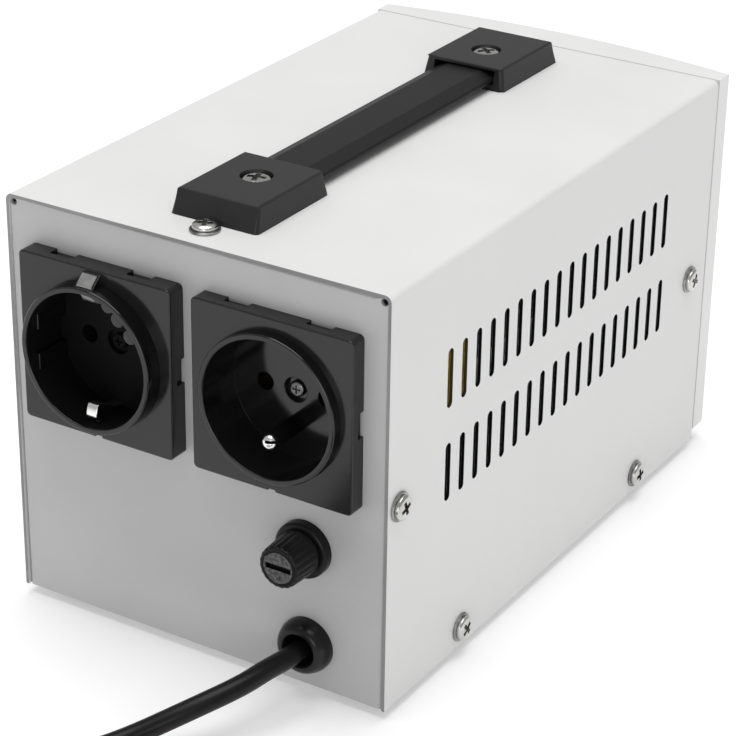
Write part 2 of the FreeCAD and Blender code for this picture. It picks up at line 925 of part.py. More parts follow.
# The blank of a socket: plate, collar, well and the body behind the wall
def socket_blank(x, plate_reach, rim_reach, well_depth):
    z = base_z + socket_level
    half = socket_size / 2
    plate = deep_box(x - half, x + half, -plate_reach, wall_recess, z - half, z + half)
    corners = [edge for edge in plate.Edges if edge.BoundBox.YLength > plate_reach / 2]
    plate = plate.makeFillet(socket_round, corners)
    front = [edge for edge in plate.Edges if edge.BoundBox.YMin > depth_y(-plate_reach) - 0.01]
    plate = plate.makeChamfer(0.5, front)
    collar = deep_cone(x, z, rim_radius, rim_base_radius, -rim_reach, wall_recess)
    rim = [edge for edge in collar.Edges if edge.BoundBox.YMin > depth_y(-rim_reach) - 0.01]
    collar = collar.makeFillet(0.5, rim)
    body_half = socket_body / 2
    body = deep_box(x - body_half, x + body_half, wall_recess, socket_body_depth,
                    z - body_half, z + body_half)
    blank = fuse_all([plate, collar, body])
    tools = [deep_rod(x, z, well_radius, -rim_reach - 1, well_depth - rim_reach)]
    for side in (-1, 1):
        at = x + side * edge_notch_offset
        for edge in (-1, 1):
            z_edge = z + edge * half
            near = -plate_reach + edge_notch_lip
            tools.append(deep_box(at - edge_notch_width / 2, at + edge_notch_width / 2,
                                  near, wall_recess, min(z_edge, z_edge - edge * edge_notch_depth),
                                  max(z_edge, z_edge - edge * edge_notch_depth)))
        x_edge = x + side * half
        tools.append(deep_box(min(x_edge, x_edge - side * edge_notch_depth),
                              max(x_edge, x_edge - side * edge_notch_depth),
                              -plate_reach + edge_notch_lip, wall_recess,
                              z - edge_notch_width / 2, z + edge_notch_width / 2))
    blank = cut_all(blank, tools)
    mouth = [edge for edge in blank.Edges if edge.BoundBox.YMin > depth_y(-rim_reach) - 0.01
             and edge.BoundBox.XLength < 2 * well_radius + 0.01]
    return blank.makeFillet(rim_lip, mouth)


def cut_contacts(socket, x, floor_depth):
    z = base_z + socket_level
    tools = []
    for side in (-1, 1):
        at = x + side * contact_pitch / 2
        tools.append(deep_rod(at, z, contact_hole_radius, floor_depth - 1, socket_body_depth + 1))
        tools.append(deep_rod(at, z, contact_pocket_radius, floor_depth + contact_sleeve_inset,
                              socket_body_depth + 1))
    tools.append(deep_rod(x, z, centre_recess_radius, floor_depth - 1,
                          floor_depth + centre_recess_depth))
    tools.append(deep_rod(x, z, centre_screw_radius + axle_gap, floor_depth - 1,
                          socket_body_depth + 1))
    return cut_all(socket, tools)


def make_contacts(x, floor_depth):
    z = base_z + socket_level
    sleeves = []
    for side in (-1, 1):
        at = x + side * contact_pitch / 2
        near = floor_depth + contact_sleeve_inset
        sleeve = deep_rod(at, z, contact_sleeve_radius, near, socket_body_depth)
        sleeve = sleeve.cut(deep_rod(at, z, contact_hole_radius, near - 1,
                                     socket_body_depth - contact_sleeve_inset))
        tab = deep_box(at - contact_sleeve_radius * 0.7, at + contact_sleeve_radius * 0.7,
                       socket_body_depth - 1, socket_body_depth + contact_tab_length,
                       z - switch_tab_thickness / 2, z + switch_tab_thickness / 2)
        sleeves.append(fuse_all([sleeve, tab]))
    return sleeves


def make_centre_screw(x, floor_depth):
    z = base_z + socket_level
    seat = V(x, depth_y(floor_depth + centre_recess_depth), z)
    length = socket_body_depth - floor_depth - centre_recess_depth - 2
    return pan_screw(seat, -Y_AXIS, centre_head_radius, centre_recess_depth * 0.9,
                     centre_screw_radius, length)


# The line of an earth clip as pairs of radius from the well's middle and depth
# The upper one lies over the rim, the lower one starts in the wall of the collar
def clip_line(way):
    rim = -left_rim_reach
    floor_depth = left_well_depth - left_rim_reach
    half = clip_thickness / 2
    if way > 0:
        line = [(well_radius + 3.9, rim + 3.9), (well_radius + 0.6, rim + half + 0.1),
                (well_radius - 0.8, rim + 0.9)]
        peak = clip_upper_reach + half
    else:
        line = [(well_radius + 0.7, rim + 1.6), (well_radius - 0.7, rim + 1.7),
                (well_radius - 2.7, rim + 2.3)]
        peak = clip_lower_reach + half
    return line + [(peak, rim + 4.1), (peak + 0.6, rim + 6.0), (well_radius - 1.6, rim + 10.0),
                   (well_radius - 1.1, floor_depth)]


def offset_line(line, distance):
    shifted = []
    last = len(line) - 1
    for index, (r, d) in enumerate(line):
        before = line[max(index - 1, 0)]
        after = line[min(index + 1, last)]
        first = (r - before[0], d - before[1]) if index else (after[0] - r, after[1] - d)
        second = (after[0] - r, after[1] - d) if index < last else first
        normals = []
        for dr, dd in (first, second):
            length = math.hypot(dr, dd)
            normals.append((-dd / length, dr / length))
        nr = normals[0][0] + normals[1][0]
        nd = normals[0][1] + normals[1][1]
        scale = 2 * distance / (nr * nr + nd * nd)
        shifted.append((r + nr * scale, d + nd * scale))
    return shifted


def clip_strip(x, way, width, thickness):
    z = base_z + socket_level
    line = clip_line(way)
    loop = offset_line(line, thickness / 2) + offset_line(line, -thickness / 2)[::-1]
    points = [V(x - width / 2, depth_y(depth), z + way * radius) for radius, depth in loop]
    return polygon_prism(points, V(width, 0, 0))


def make_left_socket():
    x = socket_side
    z = base_z + socket_level
    rim = -left_rim_reach
    floor_depth = left_well_depth - left_rim_reach
    socket = socket_blank(x, left_plate_reach, left_rim_reach, left_well_depth)
    ramp_half = clip_width / 2 + sheet
    ramp = [(rim_radius - 1, -left_plate_reach + 0.5), (rim_radius - 1, rim + 0.4),
            (rim_radius - 0.7, rim + 0.4), (well_radius + 4.1, rim + 3.8),
            (well_radius + 4.6, -left_plate_reach + 0.5)]
    points = [V(x - ramp_half, depth_y(depth), z + radius) for radius, depth in ramp]
    inside = [polygon_prism(points, V(2 * ramp_half, 0, 0))]
    for side in (-1, 1):
        for level in (-1, 1):
            x_wall = x + side * (well_radius + 0.3)
            x_face = x + side * (well_radius - lug_reach)
            middle = z + level * (lug_width / 2 + 3.6)
            inside.append(deep_box(min(x_wall, x_face), max(x_wall, x_face), rim + lug_setback,
                                   floor_depth + 0.5, middle - lug_width / 2, middle + lug_width / 2))
    inner_wall = deep_rod(x, z, rim_radius - 0.3, rim, floor_depth)
    for turn, reach in rim_bumps:
        at = math.radians(180 - turn)
        away = well_radius - reach + bump_radius
        bump = deep_rod(x + away * math.cos(at), z + away * math.sin(at), bump_radius,
                        rim + 0.4, rim + 0.4 + bump_length)
        inside.append(bump.common(inner_wall))
    socket = fuse_all([socket] + inside)
    slot_half = clip_width / 2 + clip_slot_gap
    slots = [clip_strip(x, way, 2 * slot_half, clip_thickness + 2 * clip_slot_gap)
             for way in (-1, 1)]
    slots.append(deep_box(x - slot_half, x + slot_half, rim - 1, rim + clip_thickness,
                          z + well_radius - 2, z + rim_radius + 0.6))
    slots.append(deep_box(x - clip_width / 3, x + clip_width / 3, rim - 1, rim + clip_thickness,
                          z - well_radius - 0.8, z - well_radius + 1))
    socket = cut_all(socket, slots)
    return cut_contacts(socket, x, floor_depth)


def make_right_socket():
    x = -socket_side
    z = base_z + socket_level
    floor_depth = right_well_depth - right_rim_reach
    socket = socket_blank(x, right_plate_reach, right_rim_reach, right_well_depth)
    groove_x = x - filter_board_offset
    wall = filter_groove_wall
    rib = deep_box(groove_x - board_thickness - wall, groove_x + wall, socket_body_depth,
                   socket_body_depth + filter_groove_depth, base_z + filter_level - filter_board_height / 2,
                   base_z + filter_level + filter_board_height / 2)
    groove = deep_box(groove_x - board_thickness, groove_x, socket_body_depth,
                      socket_body_depth + 2 * filter_groove_depth,
                      base_z + filter_level - filter_board_height,
                      base_z + filter_level + filter_board_height)
    socket = fuse_all([socket, rib]).cut(groove)
    pin_hole = deep_rod(x, z - earth_pin_offset, earth_shank_radius + axle_gap, floor_depth - 1,
                        socket_body_depth + 1)
    return cut_contacts(socket.cut(pin_hole), x, floor_depth)


def make_earth_pin():
    x = -socket_side
    z = base_z + socket_level - earth_pin_offset
    tip = -right_rim_reach + earth_pin_short
    floor_depth = right_well_depth - right_rim_reach
    pin = deep_rod(x, z, earth_pin_radius, tip + earth_pin_radius, floor_depth)
    nose = Part.makeSphere(earth_pin_radius, V(x, depth_y(tip + earth_pin_radius), z))
    shank = deep_rod(x, z, earth_shank_radius, floor_depth, socket_body_depth + contact_tab_length)
    return fuse_all([pin, nose, shank])


# Fuse holder


def make_fuse_body():
    x = -fuse_side
    z = base_z + fuse_level
    flange = deep_rod(x, z, fuse_flange_radius, -fuse_flange_reach, wall_recess)
    rim = [edge for edge in flange.Edges if edge.BoundBox.YMin > depth_y(-fuse_flange_reach) - 0.01]
    flange = flange.makeFillet(1.0, rim)
    barrel = deep_rod(x, z, fuse_barrel_radius, wall_recess, fuse_barrel_depth)
    body = fuse_all([flange, barrel])
    tools = [
        deep_rod(x, z, fuse_bore_radius, -fuse_flange_reach - 1, fuse_bore_depth),
        deep_rod(x, z, fuse_core_radius, 0, fuse_barrel_depth - fuse_floor),
        deep_rod(x, z, foot_screw_radius + axle_gap, 0, fuse_barrel_depth + 1),
    ]
    return cut_all(body, tools)


def make_fuse_nut():
    near = wall_recess + sheet
    centre = V(-fuse_side, depth_y(near + fuse_nut_height), base_z + fuse_level)
    return hexagon(fuse_nut_flats, fuse_nut_height, centre, Y_AXIS, fuse_barrel_radius + axle_gap)


def make_fuse_terminal():
    x = -fuse_side
    z = base_z + fuse_level
    pin = deep_rod(x, z, foot_screw_radius, fuse_barrel_depth - fuse_floor, fuse_barrel_depth)
    tab = deep_box(x - switch_tab_width / 2, x + switch_tab_width / 2, fuse_barrel_depth,
                   fuse_barrel_depth + fuse_tab_length,
                   z - switch_tab_thickness / 2, z + switch_tab_thickness / 2)
    disc = deep_rod(x, z, fuse_barrel_radius - 1, fuse_barrel_depth, fuse_barrel_depth + 0.8)
    return fuse_all([pin, disc, tab])


def make_fuse_cap():
    x = -fuse_side
    z = base_z + fuse_level
    inner = -fuse_flange_reach - moving_gap
    knob = deep_cone(x, z, fuse_cap_radius - fuse_cap_taper, fuse_cap_radius,
                     -fuse_cap_reach, inner)
    rim = [edge for edge in knob.Edges if edge.BoundBox.YMin > depth_y(-fuse_cap_reach) - 0.01]
    knob = knob.makeFillet(0.7, rim)
    stem = deep_rod(x, z, fuse_stem_radius, inner, fuse_stem_depth)
    cap = fuse_all([knob, stem])
    tools = [deep_rod(x, z, fuse_cap_bore_radius, fuse_end_inset - moving_gap, fuse_stem_depth + 1)]
    for index in range(fuse_flutes):
        turn = 2 * math.pi * index / fuse_flutes
        radius = fuse_cap_radius + fuse_flute_depth * 0.6
        tools.append(deep_rod(x + radius * math.cos(turn), z + radius * math.sin(turn),
                              fuse_flute_depth * 1.4, -fuse_cap_reach - 1, inner - 1.6))
    half = fuse_cap_radius * 0.62
    tools.append(deep_box(x - half, x + half, -fuse_cap_reach - 1, -fuse_cap_reach + fuse_slot_depth,
                          z - fuse_slot_width / 2, z + fuse_slot_width / 2))
    return cut_all(cap, tools)


def make_fuse_link():
    x = -fuse_side
    z = base_z + fuse_level
    end = fuse_end_inset + fuse_length
    glass_radius = fuse_radius - glass_wall / 2
    glass = deep_rod(x, z, glass_radius, fuse_end_inset + glass_wall, end - glass_wall)
    glass = glass.cut(deep_rod(x, z, glass_radius - glass_wall, fuse_end_inset, end))
    ends = []
    for near, far, shut in ((fuse_end_inset, fuse_end_inset + fuse_end_length, fuse_end_inset),
                            (end - fuse_end_length, end, end - glass_wall + glass_gap)):
        cup = deep_rod(x, z, fuse_radius, near, far)
        hollow_near = near + glass_wall - glass_gap if shut == near else near
        hollow_far = far if shut == near else far - glass_wall + glass_gap
        ends.append(cup.cut(deep_rod(x, z, glass_radius + glass_gap, hollow_near, hollow_far)))
    return glass, ends


# Cord gland


def make_gland():
    x = -gland_side
    z = base_z + gland_level
    wall = wall_recess
    bore = cord_diameter / 2 + gland_bore_gap
    # radius and depth of the turned outline, from the mouth round the dome to the bore
    profile = [
        (gland_mouth_radius, -gland_reach + 0.6), (gland_mouth_radius + 0.6, -gland_reach),
        (gland_nose_radius - 0.6, -gland_reach), (gland_nose_radius, -gland_reach + 0.5),
        (gland_radius, -gland_reach * 0.35), (gland_radius, wall),
        (gland_body_radius, wall), (gland_body_radius, wall + sheet + 0.1),
        (gland_body_radius + 0.6, wall + sheet + 0.4), (gland_body_radius - 0.4, gland_body_depth),
        (bore, gland_body_depth), (bore, cord_inset),
    ]
    points = [V(x + radius, depth_y(depth), z) for radius, depth in profile]
    face = Part.Face(Part.makePolygon(points + [points[0]]))
    return face.revolve(V(x, 0, z), Y_AXIS, 360)


def make_inner_cord():
    return deep_rod(-gland_side, base_z + gland_level, cord_diameter / 2, cord_inset, inner_cord_end)


# Handle


def cap_screw_ys():
    rear = depth_y(rear_cap_inset + cap_length / 2 + cap_screw_shift)
    front = depth_y(front_cap_inset - cap_length / 2 - cap_screw_shift)
    return rear, front


# One end cap, its closed end towards the given way along Y
def make_handle_cap(end_y, way, screw_y):
    x = handle_offset
    half = cap_width / 2
    inner_y = end_y - way * cap_length
    roof = top_z + cap_height

    def rectangle(inset, end_inset, open_inset, z):
        ys = (end_y - way * end_inset, inner_y + way * open_inset)
        corners = [V(x - half + inset, ys[0], z), V(x + half - inset, ys[0], z),
                   V(x + half - inset, ys[1], z), V(x - half + inset, ys[1], z)]
        return Part.makePolygon(corners + [corners[0]])

    block = Part.makeLoft([rectangle(0, 0, 0, top_z),
                           rectangle(cap_taper, cap_end_taper, cap_taper, roof)], True, True)
    rims = [edge for edge in block.Edges if edge.BoundBox.ZMin > roof - 0.01]
    block = block.makeFillet(cap_round, rims)
    pocket_end = screw_y + way * (strap_end_reach() + strap_travel + moving_gap)
    pocket_side = half - cap_side_wall - cap_taper
    mouth = inner_y - way
    pocket = box(x - pocket_side, x + pocket_side, min(pocket_end, mouth), max(pocket_end, mouth),
                 top_z + cap_floor, roof - cap_roof)
    boss = rod_z(x, screw_y, cap_boss_radius, top_z + cap_floor / 2, roof - cap_roof / 2)
    cap = fuse_all([block.cut(pocket), boss])
    tools = [
        rod_z(x, screw_y, cap_recess_radius, roof - cap_recess_depth, roof + 1),
        rod_z(x, screw_y, handle_screw_radius + case_screw_clearance, top_z - 1, roof),
    ]
    return cut_all(cap, tools)


def strap_end_reach():
    return cap_boss_radius + strap_slot_gap + strap_travel + strap_end_margin


def make_strap():
    x = handle_offset
    rear, front = cap_screw_ys()
    low = top_z + cap_floor + moving_gap
    half = strap_width / 2
    crown = strap_crown / 2
    y0 = front - strap_end_reach()
    y1 = rear + strap_end_reach()
    profile = [(-half, low), (half, low), (half, low + strap_edge),
               (crown, low + strap_thickness), (-crown, low + strap_thickness),
               (-half, low + strap_edge)]
    strap = polygon_prism([V(x + side, y0, z) for side, z in profile], V(0, y1 - y0, 0))
    slot_radius = cap_boss_radius + strap_slot_gap
    slots = []
    for screw_y in (rear, front):
        shift = strap_travel
        slots.append(box(x - slot_radius, x + slot_radius, screw_y - shift, screw_y + shift,
                         low - 1, low + 2 * strap_thickness))
        for end in (-shift, shift):
            slots.append(rod_z(x, screw_y + end, slot_radius, low - 1, low + 2 * strap_thickness))
    return cut_all(strap, slots)


def make_handle_fixings():
    screws = []
    nuts = []
    for screw_y in cap_screw_ys():
        seat = V(handle_offset, screw_y, top_z + cap_height - cap_recess_depth)
        screws.append(pan_screw(seat, -Z_AXIS, handle_head_radius, handle_head_height,
                                handle_screw_radius, handle_screw_length))
        nuts.append(hexagon(handle_nut_flats, handle_nut_height,
                            V(handle_offset, screw_y, top_z - sheet - handle_nut_height),
                            Z_AXIS, handle_screw_radius + axle_gap))
    return screws, nuts


# Transformer


def core_half():
    return core_leg + core_window


def core_height():
    return core_window_height + core_leg


def make_core():
    half = core_half()
    near = core_centre - core_stack / 2
    far = core_centre + core_stack / 2
    low = base_z + sheet
    core = deep_box(-half, half, near, far, low, low + core_height())
    windows = []
    for side in (-1, 1):
        x0 = side * core_leg / 2
        x1 = side * (core_leg / 2 + core_window)
        windows.append(deep_box(min(x0, x1), max(x0, x1), near - 1, far + 1,
                                low + core_leg / 2, low + core_leg / 2 + core_window_height))
    return cut_all(core, windows)


# A square ring round the middle leg, between two sizes
def leg_ring(inside, outside, z0, z1):
    half_w = core_leg / 2
    half_d = core_stack / 2
    outer = deep_box(-half_w - outside, half_w + outside, core_centre - half_d - outside,
                     core_centre + half_d + outside, z0, z1)
    upright = [edge for edge in outer.Edges if edge.BoundBox.ZLength > (z1 - z0) / 2]
    outer = outer.makeFillet(outside * 0.4, upright)
    inner = deep_box(-half_w - inside, half_w + inside, core_centre - half_d - inside,
                     core_centre + half_d + inside, z0 - 1, z1 + 1)
    return outer.cut(inner)


def make_transformer_coil():
    low = base_z + sheet + core_leg / 2 + coil_gap
    high = low + core_window_height - 2 * coil_gap
    tube = leg_ring(coil_gap, coil_gap + bobbin_wall, low, high)
    cheeks = [leg_ring(coil_gap, coil_build + bobbin_wall, low, low + bobbin_wall),
              leg_ring(coil_gap, coil_build + bobbin_wall, high - bobbin_wall, high)]
    bobbin = fuse_all([tube] + cheeks)
    winding = leg_ring(coil_gap + bobbin_wall, coil_build, low + bobbin_wall, high - bobbin_wall)
    return bobbin, winding


def make_transformer_frame():
    half = core_half()
    low = base_z + sheet
    high = low + core_height()
    near = core_centre - core_stack / 2
    far = core_centre + core_stack / 2
    pieces = [deep_box(-half - frame_sheet, half + frame_sheet, near, far, high, high + frame_sheet)]
    for side in (-1, 1):
        x0 = side * half
        x1 = side * (half + frame_sheet)
        x2 = side * (half + frame_sheet + frame_foot)
        pieces.append(deep_box(min(x0, x1), max(x0, x1), near, far, low, high))
        pieces.append(deep_box(min(x1, x2), max(x1, x2), near, far, low, low + frame_sheet))
    frame = fuse_all(pieces)
    holes = [rod_z(x, y, frame_bolt_radius + case_screw_clearance, low - 1, low + 2 * frame_sheet)
             for x, y in frame_foot_places()]
    return cut_all(frame, holes)


def make_frame_bolts():
    bolts = []
    nuts = []
    for x, y in frame_foot_places():
        seat = V(x, y, base_z + sheet + frame_sheet)
        bolts.append(pan_screw(seat, -Z_AXIS, 1.75 * frame_bolt_radius, frame_bolt_radius,
                               frame_bolt_radius, sheet + frame_sheet))
        nuts.append(hexagon(frame_nut_flats, base_z * 0.6, V(x, y, base_z - base_z * 0.6), Z_AXIS,
                            frame_bolt_radius + axle_gap))
    return bolts, nuts


# Control board


def board_front():
    return front_wall_depth - sheet - board_stand


def make_board():
    far = board_front()
    level = base_z + board_level
    board = deep_box(-board_width / 2, board_width / 2, far - board_thickness, far,
                     level - board_height / 2, level + board_height / 2)
    holes = [deep_rod(x, z, stand_screw_radius + case_screw_clearance, far - 2 * board_thickness,
                      far + 1) for x, z in board_screw_places()]
    return cut_all(board, holes)


def make_board_stands():
    stands = []
    screws = []
    for x, z in board_screw_places():
        stand = deep_rod(x, z, stand_radius, board_front(), front_wall_depth - sheet)
        stands.append(stand.cut(deep_rod(x, z, stand_screw_radius + axle_gap, board_front(),
                                         front_wall_depth - sheet)))
        screws.append(pan_screw(V(x, depth_y(board_front() - board_thickness), z), -Y_AXIS,
                                2 * stand_screw_radius, stand_screw_radius, stand_screw_radius,
                                board_thickness + board_stand / 3))
    return stands, screws


def make_board_parts():
    far = board_front() - board_thickness
    relays = []
    for index in range(relay_count):
        x = (index - (relay_count - 1) / 2) * relay_pitch
        z = base_z + relay_level
        relays.append(deep_box(x - relay_width / 2, x + relay_width / 2, far - relay_depth, far,
                               z - relay_height / 2, z + relay_height / 2))
    cans = []
    for index in range(can_count):
        x = -board_width / 4 + (index - (can_count - 1) / 2) * can_pitch
        can = deep_rod(x, base_z + can_level, can_radius, far - can_length, far)
        rim = [edge for edge in can.Edges if edge.BoundBox.YMin > depth_y(far - can_length) - 0.01]
        cans.append(can.makeFillet(0.6, rim))
    x = board_width / 4
    z = base_z + can_level
    sink = deep_box(x - sink_width / 2, x + sink_width / 2, far - sink_base, far,
                    z - sink_height / 2, z + sink_height / 2)
    step = (sink_width - sink_fin) / (sink_fins - 1)
    for index in range(sink_fins):
        x0 = x - sink_width / 2 + index * step
        sink = sink.fuse(deep_box(x0, x0 + sink_fin, far - sink_depth, far - sink_base,
                                  z - sink_height / 2, z + sink_height / 2))
    return relays, cans, sink.removeSplitter()


# Filter behind the right socket


def make_filter():
    x = -socket_side - filter_board_offset
    z = base_z + filter_level
    near = socket_body_depth + 0.2
    board = deep_box(x - board_thickness + 0.1, x - 0.1, near, near + filter_board_length,
                     z - filter_board_height / 2, z + filter_board_height / 2)
    can = deep_box(x - board_thickness + 0.1 - filter_can_width, x - board_thickness + 0.1,
                   filter_can_inset, filter_can_inset + filter_can_length,
                   z - filter_can_height / 2, z + filter_can_height / 2)
    upright = [edge for edge in can.Edges if edge.BoundBox.XMax < x - filter_can_width]
    can = can.makeFillet(1.0, upright)
    return board, can


# Terminal block and leads


def block_way_x(way):
    step = block_width / block_ways
    return block_side - block_width / 2 + step * (way + 0.5)


def make_block():
    low = base_z + sheet
    block = deep_box(block_side - block_width / 2, block_side + block_width / 2, block_inset,
                     block_inset + block_depth, low, low + block_height)
    tools = []
    screws = []
    middle = depth_y(block_inset + block_depth / 2)
    for way in range(block_ways):
        x = block_way_x(way)
        well = rod_z(x, middle, block_screw_radius + 2 * axle_gap, low + block_height / 2,
                     low + block_height)
        tools.append(well)
        screws.append(rod_z(x, middle, block_screw_radius, low + block_height / 2,
                            low + block_height - moving_gap))
    return cut_all(block, tools), screws


def socket_tab_end(x, side):
    z = base_z + socket_level
    return V(x + side * contact_pitch / 2, depth_y(socket_body_depth + contact_tab_length), z)


# A lead from the terminal block up to a contact behind a socket
def socket_lead(way, x, side):
    start = V(block_way_x(way), 0, base_z + sheet + block_height / 3)
    end = socket_tab_end(x, side)
    shape = [
        (0.0, block_inset + block_depth, 0.0), (0.0, block_inset + block_depth + 4.0, 0.0),
        (0.08, block_inset + block_depth + 7.0, 0.12), (0.45, block_inset + block_depth + 5.0, 0.45),
        (0.85, block_inset + 8.0, 0.8), (1.0, block_inset + 4.0, 1.0),
        (1.0, socket_body_depth + contact_tab_length, 1.0),
    ]
    points = [V(start.x + (end.x - start.x) * across, depth_y(depth),
                start.z + (end.z - start.z) * up) for across, depth, up in shape]
    return route_tube(points, lead_radius)


def make_leads():
    start = depth_y(inner_cord_end)
    gx = -gland_side
    gz = base_z + gland_level
    low = base_z + sheet + block_height / 3
    fuse_end = depth_y(fuse_barrel_depth + fuse_tab_length)
    fz = base_z + fuse_level
    stud = earth_stud_place()
    line = [route_tube([V(gx, start, gz + 1.6), V(gx, start - 6, gz + 1.6),
                        V(gx, start - 13, gz + 8), V(-fuse_side, fuse_end - 9, fz - 10),
                        V(-fuse_side, fuse_end - 7, fz), V(-fuse_side, fuse_end, fz)], lead_radius)]
    way_x = block_way_x(0)
    near = depth_y(block_inset)
    neutral = [route_tube([V(gx + 1.4, start, gz - 0.9), V(gx + 1.4, start - 4, gz - 0.9),
                           V(gx + 8, start - 5.5, gz - 2), V(gx + 15, start - 1, low),
                           V(way_x - 4, near + 5, low), V(way_x, near + 4, low),
                           V(way_x, near, low)], lead_radius)]
    beside = X_AXIS * (lead_radius + axle_gap)
    earth = [route_tube([V(gx - 1.4, start, gz - 0.9), V(gx - 1.4, start - 6, gz - 0.9),
                         V(gx - 1, start - 14, gz - 1), stud - beside + V(-2, 4, 10),
                         stud - beside + Z_AXIS * 8, stud - beside], lead_radius)]
    line.append(socket_lead(0, -socket_side, -1))
    neutral.append(socket_lead(1, -socket_side, 1))
    line.append(socket_lead(3, socket_side, -1))
    neutral.append(socket_lead(4, socket_side, 1))
    pin_end = V(-socket_side, depth_y(socket_body_depth + contact_tab_length),
                base_z + socket_level - earth_pin_offset)
    earth.append(route_tube([pin_end, pin_end - Y_AXIS * 6, pin_end + V(0, -10, -8),
                             V(stud.x + 2, stud.y + 2, (stud.z + pin_end.z) / 2),
                             stud + beside + Z_AXIS * 12, stud + beside], lead_radius))
    return line, neutral, earth


def earth_stud_place():
    return V(-case_width / 4, depth_y(core_centre / 2 + foot_inset / 2), base_z + sheet + 6.0)


def make_earth_stud():
    top = earth_stud_place()
    stud = rod_z(top.x, top.y, 2 * lead_radius + axle_gap, base_z + sheet, top.z)
    return stud.fuse(rod_z(top.x, top.y, 4 * lead_radius, base_z + sheet, top.z - 2)).removeSplitter()


# Mains cord


def coil_centre():
    return V(coil_centre_side - gland_side, rear_y + coil_centre_back, 0)


def coil_point(turn, radius, height):
    centre = coil_centre()
    angle = math.radians(turn)
    return V(centre.x + radius * math.cos(angle), centre.y + radius * math.sin(angle), height)


# The route of the free cord: across from the gland, back from the cover, and up, chosen by hand
def cord_route():
    floor_z = cord_diameter / 2 + 0.05
    mouth_z = base_z + gland_level
    chosen = [
        (0.0, -cord_inset, mouth_z), (0.0, 7.6, mouth_z), (1.9, 16.2, mouth_z), (4.2, 24.8, 14.6),
        (11.0, 36.8, 11.9), (24.5, 49.9, 4.2), (31.8, 60.4, floor_z), (36.9, 67.9, floor_z),
    ]
    start, heading = coil_state(0)
    begin = start - heading * cord_diameter
    route = [V(across - gland_side, rear_y + back, z) for across, back, z in chosen]
    return route + [begin - heading * cord_lead_in, begin]


# Two arcs that leave one point and reach another along given headings
def biarc(p0, t0, p1, t1):
    span = p1 - p0
    total = t0 + t1
    bend = 2 * (1 - t0.dot(t1))
    reach = span.dot(total)
    if bend < 1e-9:
        d = span.dot(span) / (2 * reach)
    else:
        d = (-reach + math.sqrt(reach ** 2 + 2 * bend * span.dot(span) / 2 * 2 / 2)) / bend
    middle = (p0 + p1 + (t0 - t1) * d) * 0.5
    arcs = []
    for start, corner, end in ((p0, p0 + t0 * d, middle), (middle, p1 - t1 * d, p1)):
        centre = (start + end) * 0.5
        rise = corner - centre
        half = (end - start).Length / 2
        turn = math.atan2(rise.Length, half)
        top = centre + rise.normalize() * (half * math.tan(turn / 2))
        arcs.append(Part.Arc(start, top, end).toShape())
    return arcs


# Place and heading of the coiled cord after a number of degrees of winding
def coil_state(turned):
    half_turn = 180
    layer = coil_layer_turns * 2 * half_turn
    low = cord_diameter / 2 + 0.05
    rise = cord_diameter + coil_layer_gap
    inner = coil_turn_radius - coil_step * coil_layer_turns
    rate = coil_step / 360
    if turned <= layer:
        radius = coil_turn_radius - rate * turned
        slope = -rate
        height = low
        climb = 0
    elif turned <= layer + half_turn:
        part = (turned - layer) / half_turn
        radius = inner - rate * half_turn * (part - part ** 2)
        slope = -rate * (1 - 2 * part)
        height = low + rise * (3 * part ** 2 - 2 * part ** 3)
        climb = rise * 6 * part * (1 - part) / half_turn
    else:
        radius = inner + rate * (turned - layer - half_turn)
        slope = rate
        height = low + rise
        climb = 0
    angle = math.radians(coil_first_angle + turned)
    place = coil_point(coil_first_angle + turned, radius, height)
    per_radian = 180 / math.pi
    heading = V(-radius * math.sin(angle) + slope * per_radian * math.cos(angle),
                radius * math.cos(angle) + slope * per_radian * math.sin(angle),
                climb * per_radian)
    return place, heading.normalize()


def coil_sweep():
    return coil_layer_turns * 720 + 180


def coil_wire():
    sweep = coil_sweep()
    layer = coil_layer_turns * 360
    stops = [0.0]
    for start, end, step in ((0, layer, 90), (layer, layer + 180, 45), (layer + 180, sweep, 90)):
        count = max(1, round((end - start) / step))
        stops += [start + (end - start) * (index + 1) / count for index in range(count)]
    first, heading = coil_state(0)
    edges = [Part.LineSegment(first - heading * cord_diameter, first).toShape()]
    for here, after in zip(stops, stops[1:]):
        p0, t0 = coil_state(here)
        p1, t1 = coil_state(after)
        edges += biarc(p0, t0, p1, t1)
    last, heading = coil_state(sweep)
    edges.append(Part.LineSegment(last, last + heading * coil_tail).toShape())
    return Part.Wire(edges)


def coil_least_gap():
    samples = []
    sweep = coil_sweep()
    count = int(sweep / 5)
    for index in range(count + 1):
        samples.append(coil_state(sweep * index / count)[0])
    least = 1e9
    for index, one in enumerate(samples):
        for other in samples[index + 20:]:
            least = min(least, (one - other).Length)
    return least - cord_diameter


def make_coil():
    wire = coil_wire()
    start, heading = coil_state(0)
    begin = start - heading * cord_diameter
    ring = Part.Wire(Part.makeCircle(cord_diameter / 2, begin, heading))
    coil = wire.makePipeShell([ring], True, False)
    wanted = math.pi * cord_diameter ** 2 / 4 * wire.Length
    print("coil length", round(wire.Length, 1), "volume ratio", round(coil.Volume / wanted, 4),
          "least gap", round(coil_least_gap(), 2))
    return coil


def plug_frame():
    last, heading = coil_state(coil_sweep())
    return last + heading * coil_tail, heading


